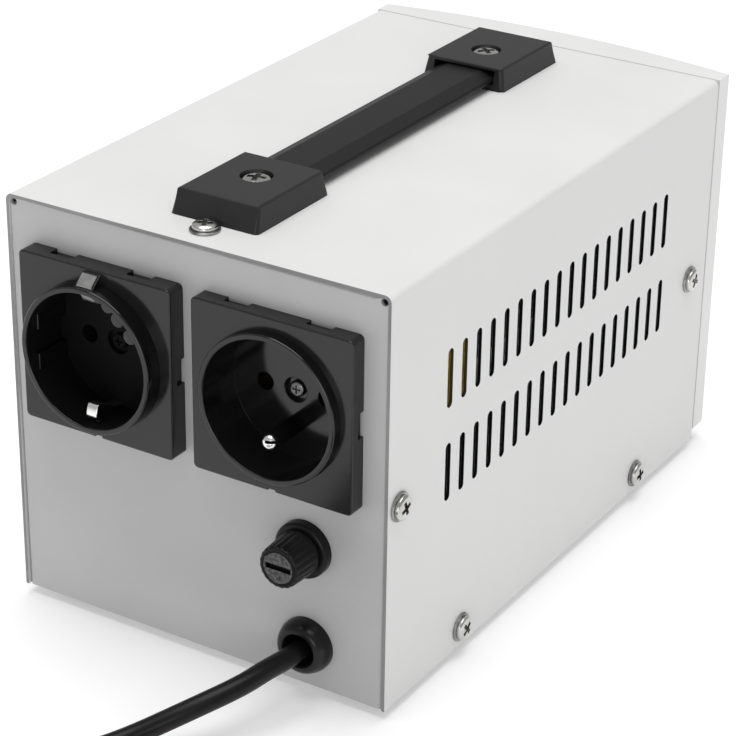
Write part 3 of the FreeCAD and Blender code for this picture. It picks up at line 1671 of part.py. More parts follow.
def make_plug():
    start, heading = plug_frame()
    height = start.z
    root = start + heading * relief_length
    centre = root + heading * (plug_radius + plug_neck_length - plug_edge)
    relief = Part.makeCone(relief_end_radius, relief_root_radius, relief_length, start, heading)
    grooves = []
    for index in range(5):
        at = start + heading * (relief_length * (0.25 + 0.13 * index))
        ring = Part.makeCylinder(relief_root_radius + 1, 1.1, at, heading)
        core = Part.makeCylinder(relief_end_radius - 0.2 + 0.25 * index, 1.1, at, heading)
        grooves.append(ring.cut(core))
    relief = cut_all(relief, grooves)
    turn = FreeCAD.Rotation(X_AXIS, heading)
    place = FreeCAD.Placement(V(centre.x, centre.y, 0), turn)
    body = Part.makeCylinder(plug_radius, plug_thickness)
    limit = Part.makeBox(4 * plug_radius, 2 * plug_flat, plug_thickness,
                         V(-2 * plug_radius, -plug_flat, 0))
    body = body.common(limit)
    rims = [edge for edge in body.Edges
            if edge.BoundBox.ZMax < 0.01 or edge.BoundBox.ZMin > plug_thickness - 0.01]
    body = body.makeFillet(plug_edge, rims)
    neck_end = -(centre - root).Length
    neck_low = height - plug_neck_height / 2
    neck = Part.makeBox(-neck_end, plug_neck_width, plug_neck_height,
                        V(neck_end, -plug_neck_width / 2, neck_low))
    neck = neck.makeFillet(2.5, [edge for edge in neck.Edges if edge.BoundBox.XLength > plug_neck_length])
    body = fuse_all([body, neck])
    body.Placement = place
    notches = []
    strips = []
    for side in (-1, 1):
        y0 = side * (plug_flat - 1.4)
        y1 = side * (plug_flat + 1)
        notches.append(Part.makeBox(5.2, abs(y1 - y0), plug_thickness * 0.7,
                                    V(-2.6, min(y0, y1), plug_thickness * 0.3 + 0.1)))
        y2 = side * (plug_flat - 0.5)
        strips.append(Part.makeBox(4.6, abs(y2 - y0), plug_thickness * 0.7 - 0.2,
                                   V(-2.3, min(y0, y2), plug_thickness * 0.3 + 0.1)))
    for shape in notches:
        shape.Placement = place
    body = fuse_all([cut_all(body, notches), relief])
    pins = []
    for side in (-1, 1):
        pin = Part.makeCylinder(plug_pin_radius, plug_pin_length,
                                V(0, side * contact_pitch / 2, plug_thickness))
        tip = [edge for edge in pin.Edges if edge.BoundBox.ZMin > plug_thickness + plug_pin_length - 0.01]
        pins.append(pin.makeFillet(1.6, tip))
    for shape in pins + strips:
        shape.Placement = place
    return body, pins, strips


# Write every piece


def main():
    save("chassis", make_chassis())
    save("cover", make_cover())
    case_screws, case_washers = make_case_screws()
    save("cover_screws", case_screws)
    save("cover_screw_washers", case_washers)
    feet, foot_screws, foot_nuts = make_feet()
    save("rubber_feet", feet)
    save("foot_screws", foot_screws)
    save("foot_nuts", foot_nuts)

    save("front_bezel", make_bezel())
    save("bezel_screws", make_bezel_screws())
    save("display_window", make_window())
    board, digits = make_display()
    save("display_board", board)
    save("display_digits", digits)
    save("indicator_lamps", make_lamps())
    save("switch_frame", make_switch_frame())
    save("switch_terminals", make_switch_tabs())
    save("power_rocker", make_rocker())
    save("delay_button", make_button())
    save("delay_switch", make_delay_switch())

    left_floor = left_well_depth - left_rim_reach
    right_floor = right_well_depth - right_rim_reach
    save("left_socket", make_left_socket())
    save("left_socket_earth_clips", [clip_strip(socket_side, way, clip_width, clip_thickness)
                                     for way in (-1, 1)])
    save("right_socket", make_right_socket())
    save("right_socket_earth_pin", make_earth_pin())
    save("socket_contacts", make_contacts(socket_side, left_floor)
         + make_contacts(-socket_side, right_floor))
    save("socket_centre_screws", [make_centre_screw(socket_side, left_floor),
                                  make_centre_screw(-socket_side, right_floor)])

    save("fuse_holder", make_fuse_body())
    save("fuse_holder_nut", make_fuse_nut())
    save("fuse_terminal", make_fuse_terminal())
    save("fuse_cap", make_fuse_cap())
    glass, ends = make_fuse_link()
    save("fuse_glass", glass)
    save("fuse_ends", ends)

    save("cord_gland", make_gland())
    save("mains_cord_inner", make_inner_cord())

    rear_screw, front_screw = cap_screw_ys()
    save("handle_cap_rear", make_handle_cap(depth_y(rear_cap_inset), 1, rear_screw))
    save("handle_cap_front", make_handle_cap(depth_y(front_cap_inset), -1, front_screw))
    save("handle_strap", make_strap())
    handle_screws, handle_nuts = make_handle_fixings()
    save("handle_screws", handle_screws)
    save("handle_nuts", handle_nuts)

    save("transformer_core", make_core())
    bobbin, winding = make_transformer_coil()
    save("transformer_bobbin", bobbin)
    save("transformer_winding", winding)
    save("transformer_frame", make_transformer_frame())
    bolts, nuts = make_frame_bolts()
    save("transformer_bolts", bolts)
    save("transformer_nuts", nuts)

    save("control_board", make_board())
    stands, board_screws = make_board_stands()
    save("board_pillars", stands)
    save("board_screws", board_screws)
    relays, cans, sink = make_board_parts()
    save("relays", relays)
    save("capacitors", cans)
    save("heat_sink", sink)
    filter_board, filter_can = make_filter()
    save("filter_board", filter_board)
    save("filter_capacitor", filter_can)
    block, block_screws = make_block()
    save("terminal_block", block)
    line, neutral, earth = make_leads()
    save("line_leads", line)
    save("neutral_leads", neutral)
    save("earth_lead", earth)
    save("earth_stud", make_earth_stud())

    coil = make_coil()
    save("mains_cord", route_tube(cord_route(), cord_diameter / 2, "mains cord"))
    save("mains_cord_coil", coil)
    plug, pins, strips = make_plug()
    save("mains_plug", plug)
    save("plug_pins", pins + strips)


main()
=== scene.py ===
import bpy
import bmesh
import json
import math
from mathutils import Matrix, Vector

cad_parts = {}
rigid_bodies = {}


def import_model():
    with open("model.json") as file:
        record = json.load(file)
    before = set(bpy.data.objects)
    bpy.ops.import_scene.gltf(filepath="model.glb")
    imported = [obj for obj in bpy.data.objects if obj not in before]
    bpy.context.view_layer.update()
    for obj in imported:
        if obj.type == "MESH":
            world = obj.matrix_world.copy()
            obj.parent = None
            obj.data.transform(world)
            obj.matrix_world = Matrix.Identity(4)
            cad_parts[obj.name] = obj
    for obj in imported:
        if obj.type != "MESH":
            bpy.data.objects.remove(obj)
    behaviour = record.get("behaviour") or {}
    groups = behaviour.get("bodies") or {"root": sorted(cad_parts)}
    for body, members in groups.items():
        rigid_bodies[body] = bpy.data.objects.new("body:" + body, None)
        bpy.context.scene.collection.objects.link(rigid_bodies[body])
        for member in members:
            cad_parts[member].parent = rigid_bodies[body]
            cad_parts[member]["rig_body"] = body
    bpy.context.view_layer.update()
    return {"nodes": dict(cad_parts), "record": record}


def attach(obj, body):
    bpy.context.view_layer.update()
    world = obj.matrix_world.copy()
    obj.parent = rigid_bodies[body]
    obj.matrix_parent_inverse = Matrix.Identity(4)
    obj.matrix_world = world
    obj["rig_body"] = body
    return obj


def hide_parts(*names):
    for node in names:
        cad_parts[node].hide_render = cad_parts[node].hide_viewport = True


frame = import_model()
rearY = 0.09625  # the cover's rear edge
spare = 0.001  # how far a cutting shape reaches past the piece
slotOf = {row["node"]: row["material_slot"] for row in frame["record"]["subparts"]}
bodyOf = {node: item["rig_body"] for node, item in frame["nodes"].items()}
looks = {}
print("frame loaded with", len(slotOf), "nodes")


def newItem(name, data):
    item = bpy.data.objects.new(name, data)
    bpy.context.scene.collection.objects.link(item)
    return item


# Camera and studio

camera = dict(place=(-0.35468, 0.58187, 0.38468), turn=(63.803, -0.742, -147.902),
              lens=124.01, sensor=36, nearest=0.02)


def setCamera(values):
    data = bpy.data.cameras.new("photoCamera")
    data.lens = values["lens"]
    data.sensor_width = values["sensor"]
    data.clip_start = values["nearest"]
    item = newItem("photoCamera", data)
    item.location = values["place"]
    item.rotation_euler = [math.radians(angle) for angle in values["turn"]]
    bpy.context.scene.camera = item


setCamera(camera)

studio = dict(
    aim=(0, 0, 0.05), skyTone=(1.0, 1.0, 1.0), skyPower=0.45,
    key=dict(place=(-0.50, 1.20, 0.20), size=0.6, power=3.75),
    side=dict(place=(-1.25, 0.05, 0.55), size=0.9, power=0.10),
    top=dict(place=(0.05, 0.0, 3.0), size=2.5, power=71.5),
)


def addLight(name, aim, values):
    data = bpy.data.lights.new(name, "AREA")
    data.shape = "SQUARE"
    data.size = values["size"]
    data.energy = values["power"]
    item = newItem(name, data)
    item.location = values["place"]
    toAim = Vector(aim) - Vector(values["place"])
    item.rotation_euler = toAim.to_track_quat("-Z", "Y").to_euler()


def setStudio(values):
    world = bpy.data.worlds.new("paleRoom")
    bpy.context.scene.world = world
    world.use_nodes = True
    sky = world.node_tree.nodes["Background"]
    sky.inputs["Color"].default_value = (*values["skyTone"], 1)
    sky.inputs["Strength"].default_value = values["skyPower"]
    for part in ("key", "side", "top"):
        addLight(part + "Light", values["aim"], values[part])
    bpy.context.scene.view_settings.view_transform = "Standard"


setStudio(studio)
print("camera and light set")


# Finishes: two close tones in soft clouds, a band of roughness and a fine grain

pattern = dict(cloudDetail=4, grainDetail=2, toneSpan=(0.35, 0.65), roughSpan=(0.3, 0.7),
               bumpStrength=0.6)


def addNode(tree, kind, **values):
    node = tree.nodes.new(kind)
    for key, value in values.items():
        if key in node.inputs:
            node.inputs[key].default_value = value
        else:
            setattr(node, key, value)
    return node


def addNoise(tree, point, scale, detail):
    noise = addNode(tree, "ShaderNodeTexNoise", Scale=scale, Detail=detail)
    tree.links.new(point, noise.inputs["Vector"])
    return noise.outputs["Fac"]


# A tone is a colour, or one number for a grey; the depth is that of the grain
def makeFinish(name, tones, rough, grain=900, depth=0.00001, cloud=25, metal=0, stretch=(1, 1, 1),
               gloss=0.5, coat=0):
    look = bpy.data.materials.new(name)
    look.use_nodes = True
    tree = look.node_tree
    link = tree.links.new
    shader = tree.nodes["Principled BSDF"]
    for key, value in (("Metallic", metal), ("Specular IOR Level", gloss), ("Coat Weight", coat)):
        shader.inputs[key].default_value = value
    own = addNode(tree, "ShaderNodeTexCoord")
    scaled = addNode(tree, "ShaderNodeMapping", Scale=stretch)
    link(own.outputs["Object"], scaled.inputs["Vector"])
    clouds = addNoise(tree, scaled.outputs["Vector"], cloud, pattern["cloudDetail"])
    ramp = addNode(tree, "ShaderNodeValToRGB")
    for stop, place, tone in zip(ramp.color_ramp.elements, pattern["toneSpan"], tones):
        stop.position = place
        stop.color = (*tone, 1) if isinstance(tone, tuple) else (tone, tone, tone, 1)
    link(clouds, ramp.inputs["Fac"])
    link(ramp.outputs["Color"], shader.inputs["Base Color"])
    band = addNode(tree, "ShaderNodeMapRange")
    for key, value in zip(("From Min", "From Max", "To Min", "To Max"),
                          (*pattern["roughSpan"], *rough)):
        band.inputs[key].default_value = value
    link(clouds, band.inputs["Value"])
    link(band.outputs["Result"], shader.inputs["Roughness"])
    if depth:
        bump = addNode(tree, "ShaderNodeBump", Strength=pattern["bumpStrength"], Distance=depth)
        fine = addNoise(tree, scaled.outputs["Vector"], grain, pattern["grainDetail"])
        link(fine, bump.inputs["Height"])
        link(bump.outputs["Normal"], shader.inputs["Normal"])
    looks[name] = look
    return look


finishes = dict(
    case_white=dict(tones=((0.71, 0.71, 0.705), (0.73, 0.73, 0.725)), rough=(0.42, 0.5),
                    grain=2600, gloss=0.4),
    panel_grey=dict(tones=(0.43, 0.455), rough=(0.34, 0.44), grain=2200),
    bezel_white=dict(tones=((0.735, 0.735, 0.73), (0.76, 0.76, 0.755)), rough=(0.34, 0.42),
                     grain=3000),
    socket_black=dict(tones=((0.004, 0.004, 0.0045), (0.0065, 0.0065, 0.007)), rough=(0.10, 0.15),
                      grain=1600, depth=0.000002),
    handle_black=dict(tones=((0.013, 0.013, 0.0135), (0.018, 0.018, 0.0185)), rough=(0.34, 0.44),
                      grain=2200, gloss=0.36),
    strap_black=dict(tones=((0.007, 0.007, 0.0075), (0.010, 0.010, 0.0105)), rough=(0.38, 0.48),
                     grain=1200, depth=0.000008, stretch=(1, 0.1, 1), gloss=0.22),
    fuse_black=dict(tones=((0.004, 0.004, 0.0045), (0.008, 0.008, 0.0085)), rough=(0.26, 0.38),
                    gloss=0.18),
    gland_black=dict(tones=(0.003, 0.005), rough=(0.22, 0.30), grain=1500, depth=0.000005,
                     gloss=0.3),
    cord_black=dict(tones=(0.004, 0.006), rough=(0.32, 0.42), grain=1400, cloud=60, gloss=0.22),
    foot_black=dict(tones=(0.012, 0.022), rough=(0.6, 0.8), grain=1200, depth=0.00004),
    nickel=dict(tones=((0.50, 0.495, 0.48), (0.62, 0.615, 0.60)), rough=(0.14, 0.24), grain=700,
                depth=0.000004, metal=1, cloud=120),
    zinc=dict(tones=((0.50, 0.50, 0.49), (0.62, 0.62, 0.60)), rough=(0.3, 0.45), metal=1,
              cloud=150),
    lamp_clear=dict(tones=((0.62, 0.60, 0.52), (0.70, 0.68, 0.60)), rough=(0.1, 0.2), grain=500,
                    coat=0.4),
    digit_red=dict(tones=((0.045, 0.012, 0.012), (0.06, 0.016, 0.016)), rough=(0.3, 0.4)),
    board_green=dict(tones=((0.02, 0.13, 0.05), (0.03, 0.17, 0.07)), rough=(0.3, 0.45),
                     grain=1500, cloud=90),
    board_brown=dict(tones=((0.26, 0.15, 0.06), (0.36, 0.22, 0.09)), rough=(0.4, 0.55),
                     grain=1500, cloud=300),
    relay_blue=dict(tones=((0.03, 0.09, 0.30), (0.04, 0.12, 0.36)), rough=(0.25, 0.35), grain=1500),
    can_black=dict(tones=((0.02, 0.02, 0.035), (0.03, 0.03, 0.05)), rough=(0.2, 0.3), grain=1500),
    sink_aluminium=dict(tones=(0.66, 0.74), rough=(0.3, 0.45), metal=1, stretch=(1, 1, 8)),
    filter_yellow=dict(tones=((0.62, 0.46, 0.05), (0.74, 0.56, 0.08)), rough=(0.25, 0.35),
                       grain=1500),
    core_steel=dict(tones=((0.16, 0.16, 0.17), (0.30, 0.30, 0.31)), rough=(0.4, 0.6), grain=1200,
                    depth=0.00008, metal=0.8, stretch=(0.02, 1, 0.02), cloud=900),
    bobbin_nylon=dict(tones=((0.70, 0.66, 0.56), (0.76, 0.73, 0.64)), rough=(0.4, 0.5), grain=1200),
    copper=dict(tones=((0.42, 0.14, 0.05), (0.60, 0.24, 0.09)), rough=(0.25, 0.38), grain=1400,
                depth=0.00012, metal=0.9, stretch=(0.02, 0.02, 1), cloud=900),
    block_ivory=dict(tones=((0.66, 0.61, 0.48), (0.72, 0.68, 0.55)), rough=(0.4, 0.5), grain=1200),
    brass=dict(tones=((0.60, 0.45, 0.20), (0.70, 0.55, 0.28)), rough=(0.2, 0.35), metal=1),
    lead_brown=dict(tones=((0.16, 0.06, 0.02), (0.20, 0.08, 0.03)), rough=(0.35, 0.45), grain=1200),
    lead_blue=dict(tones=((0.02, 0.08, 0.34), (0.03, 0.10, 0.40)), rough=(0.35, 0.45), grain=1200),
    lead_green=dict(tones=((0.10, 0.34, 0.04), (0.55, 0.50, 0.04)), rough=(0.35, 0.45),
                    grain=1200, stretch=(1, 1, 0.15)),
    ventShade=dict(tones=(0.003, 0.006), rough=(0.6, 0.7), gloss=0.05),
    # painted reflection of a yellow part on the walls of two vents
    ventYellowReflection=dict(tones=((0.040, 0.030, 0.007), (0.055, 0.042, 0.010)), rough=(0.6, 0.7),
                  gloss=0.05),
    # painted shade on the cover's rear cut edges
    coverEdgeShade=dict(tones=(0.20, 0.27), rough=(0.5, 0.6), gloss=0.3),
    seamShade=dict(tones=(0.46, 0.50), rough=(0.5, 0.6), gloss=0.2),
    # painted shade: inside the left well, on the earth pin's shaft and slot, on the left well's
    # centre screw
    wellShade=dict(tones=(0.005, 0.007), rough=(0.45, 0.55), gloss=0.05),
    plateBlack=dict(tones=((0.010, 0.010, 0.0105), (0.012, 0.012, 0.0125)), rough=(0.13, 0.18),
                    grain=1600, depth=0.000003, gloss=0.44),
    # painted shade on the upper earth clip, a darkened copy of the clip metal
    clipShade=dict(tones=((0.37, 0.37, 0.365), (0.45, 0.45, 0.445)), rough=(0.28, 0.42), grain=700,
                  metal=1, cloud=300),
    # painted highlight on the lower earth clip and on the earth pin's tip
    tipHighlight=dict(tones=((0.80, 0.80, 0.79), (0.90, 0.90, 0.89)), rough=(0.14, 0.2), grain=700,
                   depth=0.000004, metal=1, cloud=200),
    # painted shade on the right well's centre screw
    wellScrewShade=dict(tones=(0.06, (0.28, 0.28, 0.275)), rough=(0.25, 0.4), grain=700, depth=0.00002,
                   metal=1, cloud=500),
    washerGrey=dict(tones=((0.16, 0.16, 0.155), (0.42, 0.42, 0.41)), rough=(0.25, 0.4), grain=700,
                    depth=0.00002, metal=1, cloud=260),
    segmentPale=dict(tones=((0.62, 0.40, 0.38), (0.70, 0.46, 0.44)), rough=(0.3, 0.4),
                     depth=0.000005),
    moduleDark=dict(tones=((0.010, 0.010, 0.011), (0.016, 0.016, 0.017)), rough=(0.35, 0.45),
                    depth=0.000005),
    markWhite=dict(tones=((0.70, 0.70, 0.69), (0.78, 0.78, 0.77)), rough=(0.4, 0.5),
                   depth=0.000005),
    capEnd=dict(tones=(0.022, (0.120, 0.120, 0.118)), rough=(0.3, 0.5), depth=0.00003, cloud=1100,
                gloss=0.3),
)
for slotName, values in finishes.items():
    makeFinish(slotName, **values)

clearFinishes = dict(
    window_smoke=dict(tint=(0.018, 0.003, 0.004), rough=0.06, alpha=0.42, grain=700),
    glass=dict(tint=(0.80, 0.86, 0.84), rough=0.03, alpha=0.28, grain=900),
)
clearPattern = dict(shade=0.9, roughSpan=0.04, depth=0.0000005, cloud=8)


def makeClear(name, values, shared):
    tint, rough = values["tint"], values["rough"]
    look = makeFinish(name, (tint, tuple(tone * shared["shade"] for tone in tint)),
                      (rough, rough + shared["roughSpan"]), values["grain"], shared["depth"],
                      shared["cloud"])
    look.node_tree.nodes["Principled BSDF"].inputs["Alpha"].default_value = values["alpha"]
    look.blend_method = "BLEND"


for slotName, values in clearFinishes.items():
    makeClear(slotName, values, clearPattern)
print("finishes made:", len(looks))


# Meshes: baked, welded, smoothed by angle and with eased edges

meshing = dict(weld=0.000002, least=0.0000001, flatAngle=0.3, easeAngle=32, smoothAngle=35,
               normalWeight=80)


def endMesh(work, name):
    mesh = bpy.data.meshes.new(name)
    work.to_mesh(mesh)
    work.free()
    return mesh


def smoothByAngle(mesh, degrees):
    work = bmesh.new()
    work.from_mesh(mesh)
    limit = math.radians(degrees)
    for face in work.faces:
        face.smooth = True
    for edge in work.edges:
        edge.smooth = not (len(edge.link_faces) == 2 and edge.calc_face_angle(0) > limit)
    work.to_mesh(mesh)
    work.free()


# The finished mesh of an item, with its place and its modifiers worked in
def bake(item):
    depsgraph = bpy.context.evaluated_depsgraph_get()
    mesh = bpy.data.meshes.new_from_object(item.evaluated_get(depsgraph))
    item.modifiers.clear()
    item.data = mesh
    mesh.transform(item.matrix_world)
    item.matrix_world = Matrix.Identity(4)
    return item


# Makes an item the finished piece that stands for one node of the solids
def settle(item, name, node, smooth=meshing["smoothAngle"]):
    bake(item)
    smoothByAngle(item.data, smooth)
    even = item.modifiers.new("even", "WEIGHTED_NORMAL")
    even.keep_sharp = True
    even.weight = meshing["normalWeight"]
    bake(item)
    item.data.materials.clear()
    item.data.materials.append(looks[slotOf[node]])
    item.name = name
    item.data.name = name
    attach(item, bodyOf[node])
    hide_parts(node)
    return item


# Another finish on the faces whose corners all pass a test of place and normal
def paintFaces(item, lookName, test):
    item.data.materials.append(looks[lookName])
    index = len(item.data.materials) - 1
    spots = [vert.co for vert in item.data.vertices]
    for face in item.data.polygons:
        if all(test(spots[corner], face.normal) for corner in face.vertices):
            face.material_index = index


def easeEdges(item, width, segments=2, angle=meshing["easeAngle"]):
    ease = item.modifiers.new("ease", "BEVEL")
    ease.width = width
    ease.segments = segments
    ease.limit_method = "ANGLE"
    ease.angle_limit = math.radians(angle)
    ease.use_clamp_overlap = True
    ease.loop_slide = False
    return ease


def weldedCopy(node):
    mesh = frame["nodes"][node].data.copy()
    work = bmesh.new()
    work.from_mesh(mesh)
    bmesh.ops.remove_doubles(work, verts=work.verts, dist=meshing["weld"])
    bmesh.ops.dissolve_limit(work, angle_limit=math.radians(meshing["flatAngle"]),
                             verts=work.verts, edges=work.edges)
    work.to_mesh(mesh)
    work.free()
    return mesh


def dressNode(node, ease=0, segments=2, name=None):
    name = name or node + "Shape"
    item = newItem(name, weldedCopy(node))
    if ease:
        easeEdges(item, ease, segments)
    return settle(item, name, node)


def cutAway(item, tool, operation="DIFFERENCE"):
    cut = item.modifiers.new("cut", "BOOLEAN")
    cut.operation = operation
    cut.solver = "EXACT"
    cut.object = tool


def dropItems(items):
    for item in items:
        bpy.data.objects.remove(item)


# Cuts with all tools, eases the edges and drops the tools
def carve(item, tools, width, segments, angle):
    for tool in tools:
        cutAway(item, tool)
    easeEdges(item, width, segments, angle)
    bake(item)
    dropItems(tools)
    return item


def joinItems(name, items):
    work = bmesh.new()
    for item in items:
        work.from_mesh(bake(item).data)
    dropItems(items)
    return newItem(name, endMesh(work, name))


# Basic shapes

def arcPoints(middle, radius, start, end, steps=5):
    angles = [math.radians(start + (end - start) * step / steps) for step in range(steps + 1)]
    return [(middle[0] + radius * math.cos(angle), middle[1] + radius * math.sin(angle))
            for angle in angles]


def roundedSquare(half, radius, steps):
    outline = []
    for signX, signY, start in ((1, 1, 0), (-1, 1, 90), (-1, -1, 180), (1, -1, 270)):
        middle = (signX * (half - radius), signY * (half - radius))
        outline += arcPoints(middle, radius, start, start + 90, steps)
    return outline


# Turned round +Z from radius, height and, where it is fluted, the depth of its flutes
def turnedItem(name, profile, steps, flutes=0):
    work = bmesh.new()
    rings = []
    for radius, height, *depth in profile:
        if radius < meshing["least"]:
            rings.append([work.verts.new((0, 0, height))])
            continue
        ring = []
        for step in range(steps):
            angle = 2 * math.pi * step / steps
            away = radius
            if depth:
                away -= depth[0] * (0.5 + 0.5 * math.cos(flutes * angle)) ** 2
            ring.append(work.verts.new((away * math.cos(angle), away * math.sin(angle), height)))
        rings.append(ring)
    for below, above in zip(rings, rings[1:]):
        for step in range(steps):
            after = (step + 1) % steps
            if len(below) == 1:
                work.faces.new((below[0], above[after], above[step]))
            elif len(above) == 1:
                work.faces.new((below[step], below[after], above[0]))
            else:
                work.faces.new((below[step], below[after], above[after], above[step]))
    bmesh.ops.remove_doubles(work, verts=work.verts, dist=meshing["least"])
    bmesh.ops.recalc_face_normals(work, faces=work.faces)
    return newItem(name, endMesh(work, name))


# Closed, through rings that all have the same number of points
def loftItem(name, loops):
    work = bmesh.new()
    rings = [[work.verts.new(point) for point in loop] for loop in loops]
    for below, above in zip(rings, rings[1:]):
        for step in range(len(below)):
            after = (step + 1) % len(below)
            work.faces.new((below[step], below[after], above[after], above[step]))
    work.faces.new(rings[0])
    work.faces.new(rings[-1])
    bmesh.ops.recalc_face_normals(work, faces=work.faces)
    return newItem(name, endMesh(work, name))


def boxItem(name, *boxes):
    work = bmesh.new()
    for low, high in boxes:
        for vert in bmesh.ops.create_cube(work, size=1)["verts"]:
            vert.co = Vector([low[axis] if vert.co[axis] < 0 else high[axis] for axis in range(3)])
    return newItem(name, endMesh(work, name))


def rodItem(name, radius, low, high, steps=40):
    return turnedItem(name, [(0, low), (radius, low), (radius, high), (0, high)], steps)


# On the rear panel at x, z: +Z outwards, +Y up, +X to the right as seen from behind
def faceRear(item, x, z):
    turn = Matrix.Rotation(math.radians(-90), 4, "X") @ Matrix.Rotation(math.radians(180), 4, "Z")
    item.matrix_world = Matrix.Translation((x, rearY, z)) @ turn


# Rows of one part on points that carry their own turn

def newTree(name, inputs):
    tree = bpy.data.node_groups.new(name, "GeometryNodeTree")
    rows = [("Geometry", "INPUT", "Geometry")]
    rows += [(key, "INPUT", kind) for key, kind in inputs.items()]
    for key, way, kind in rows + [("Geometry", "OUTPUT", "Geometry")]:
        tree.interface.new_socket(key, in_out=way, socket_type="NodeSocket" + kind)
    return tree, tree.nodes.new("NodeGroupInput").outputs, tree.links.new


def addPlaces(tree, points, part, **values):
    place = addNode(tree, "GeometryNodeInstanceOnPoints", **values)
    real = tree.nodes.new("GeometryNodeRealizeInstances")
    tree.links.new(points, place.inputs["Points"])
    tree.links.new(part, place.inputs["Instance"])
    tree.links.new(place.outputs["Instances"], real.inputs["Geometry"])
    return place.inputs, real.outputs["Geometry"]


def endTree(tree, shape, finish):
    paint = tree.nodes.new("GeometryNodeSetMaterial")
    tree.links.new(shape, paint.inputs["Geometry"])
    tree.links.new(finish, paint.inputs["Material"])
    tree.links.new(paint.outputs["Geometry"], tree.nodes.new("NodeGroupOutput").inputs["Geometry"])
    return tree


def scatterTree():
    inputs = dict(Part="Object", Size="Float", Finish="Material")
    tree, start, link = newTree("partOnPoints", inputs)
    part = tree.nodes.new("GeometryNodeObjectInfo")
    turn = addNode(tree, "GeometryNodeInputNamedAttribute", data_type="FLOAT_VECTOR", Name="turn")
    link(start["Part"], part.inputs["Object"])
    place, shape = addPlaces(tree, start["Geometry"], part.outputs["Geometry"])
    link(turn.outputs["Attribute"], place["Rotation"])
    link(start["Size"], place["Scale"])
    return endTree(tree, shape, start["Finish"])


scatter = scatterTree()


def runTree(item, tree, values):
    layer = item.modifiers.new("grow", "NODES")
    layer.node_group = tree
    keys = {row.name: row.identifier for row in tree.interface.items_tree
            if row.item_type == "SOCKET" and row.in_out == "INPUT"}
    for key, value in values.items():
        layer[keys[key]] = value


# Every spot is a place, an aim and a twist: the part's own +Z ends up along the aim
def scatterItem(name, part, spots, lookName, size=1.0):
    mesh = bpy.data.meshes.new(name)
    mesh.from_pydata([spot[0] for spot in spots], [], [])
    turns = mesh.attributes.new("turn", "FLOAT_VECTOR", "POINT")
    for index, (_, aim, twist) in enumerate(spots):
        turn = Vector(aim).to_track_quat("Z", "Y").to_matrix().to_4x4()
        turn = turn @ Matrix.Rotation(math.radians(twist), 4, "Z")
        turns.data[index].vector = turn.to_euler()
    item = newItem(name, mesh)
    runTree(item, scatter, dict(Part=part, Size=size, Finish=looks[lookName]))
    return item


def placeParts(name, node, part, spots, size=1.0):
    item = settle(scatterItem(name, part, spots, slotOf[node], size), name, node)
    dropItems([part])
    return item


# Mains cord, one line from the gland to the plug

cord = dict(
    thickness=0.0058, exit=(-0.0362, 0.0159), length=1.286, seat=0.0005,
    route=[(0, -0.0005, 0.0159), (0, 0.0076, 0.0159), (0.0019, 0.0162, 0.0159),
           (0.0042, 0.0248, 0.0146), (0.0110, 0.0368, 0.0119), (0.0245, 0.0499, 0.0042),
           (0.0318, 0.0604, 0.00295), (0.0369, 0.0679, 0.00295)],
    turnRadius=0.0425, turnStep=0.00635, layerTurns=2.48, layerRise=0.00625,
    centre=(-0.0305, 0.1099), firstAngle=-18.0, pointStep=15.0, leadIn=0.015, tail=0.012,
    floorHeight=0.00295, aimStep=0.2, lineSteps=6, roundSteps=5,
)


# Inwards on the floor, up within half a turn, and outwards again on the second layer
def coilPlace(values, turned):
    layer = values["layerTurns"] * 360
    rate = values["turnStep"] / 360
    inner = values["turnRadius"] - values["turnStep"] * values["layerTurns"]
    height = values["floorHeight"]
    if turned <= layer:
        radius = values["turnRadius"] - rate * turned
    elif turned <= layer + 180:
        share = (turned - layer) / 180
        radius = inner - rate * 180 * (share - share ** 2)
        height += values["layerRise"] * (3 * share ** 2 - 2 * share ** 3)
    else:
        radius = inner + rate * (turned - layer - 180)
        height += values["layerRise"]
    return radius, math.radians(values["firstAngle"] + turned), height


def coilSpot(values, turned, lift=1.0):
    radius, angle, height = coilPlace(values, turned)
    return Vector((values["centre"][0] + radius * lift * math.cos(angle),
                   rearY + values["centre"][1] + radius * lift * math.sin(angle), height))


def cordPoints(values):
    sweep, aim = values["layerTurns"] * 720 + 180, values["aimStep"]
    count = round(sweep / values["pointStep"])
    # The curve runs inside its points, which are set further out by as much
    lift = 8 / (6 + 2 * math.cos(math.radians(sweep / count)))
    turns = [coilSpot(values, sweep * index / count, lift) for index in range(1, count + 1)]
    heading = (coilSpot(values, aim) - coilSpot(values, 0)).normalized()
    begin = coilSpot(values, 0) - heading * values["thickness"]
    last = (coilSpot(values, sweep) - coilSpot(values, sweep - aim)).normalized()
    exitX = values["exit"][0]
    free = [Vector((exitX + across, rearY + back, height))
            for across, back, height in values["route"]]
    free += [begin - heading * values["leadIn"], begin]
    return free + turns + [turns[-1] + last * values["tail"]]


def makeCord(values):
    curve = bpy.data.curves.new("mainsCord", "CURVE")
    curve.dimensions = "3D"
    points = cordPoints(values)
    spline = curve.splines.new("NURBS")
    spline.points.add(len(points) - 1)
    for slot, point in zip(spline.points, points):
        slot.co = (*point, 1)
    spline.order_u = 3
    spline.use_endpoint_u = True
    spline.resolution_u = values["lineSteps"]
    curve.bevel_depth = values["thickness"] / 2
    curve.bevel_resolution = values["roundSteps"]
    curve.use_fill_caps = True
    item = newItem("mainsCord", curve)
    curve.materials.append(looks["cord_black"])
    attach(item, "case")
    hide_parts("mains_cord", "mains_cord_coil")
    return item


mainsCord = makeCord(cord)
plug = dressNode("mains_plug", 0.0006, 3, name="plugBody")
plugPins = dressNode("plug_pins", name="plugPins")
print("cord laid")


# Cover with its rows of vents

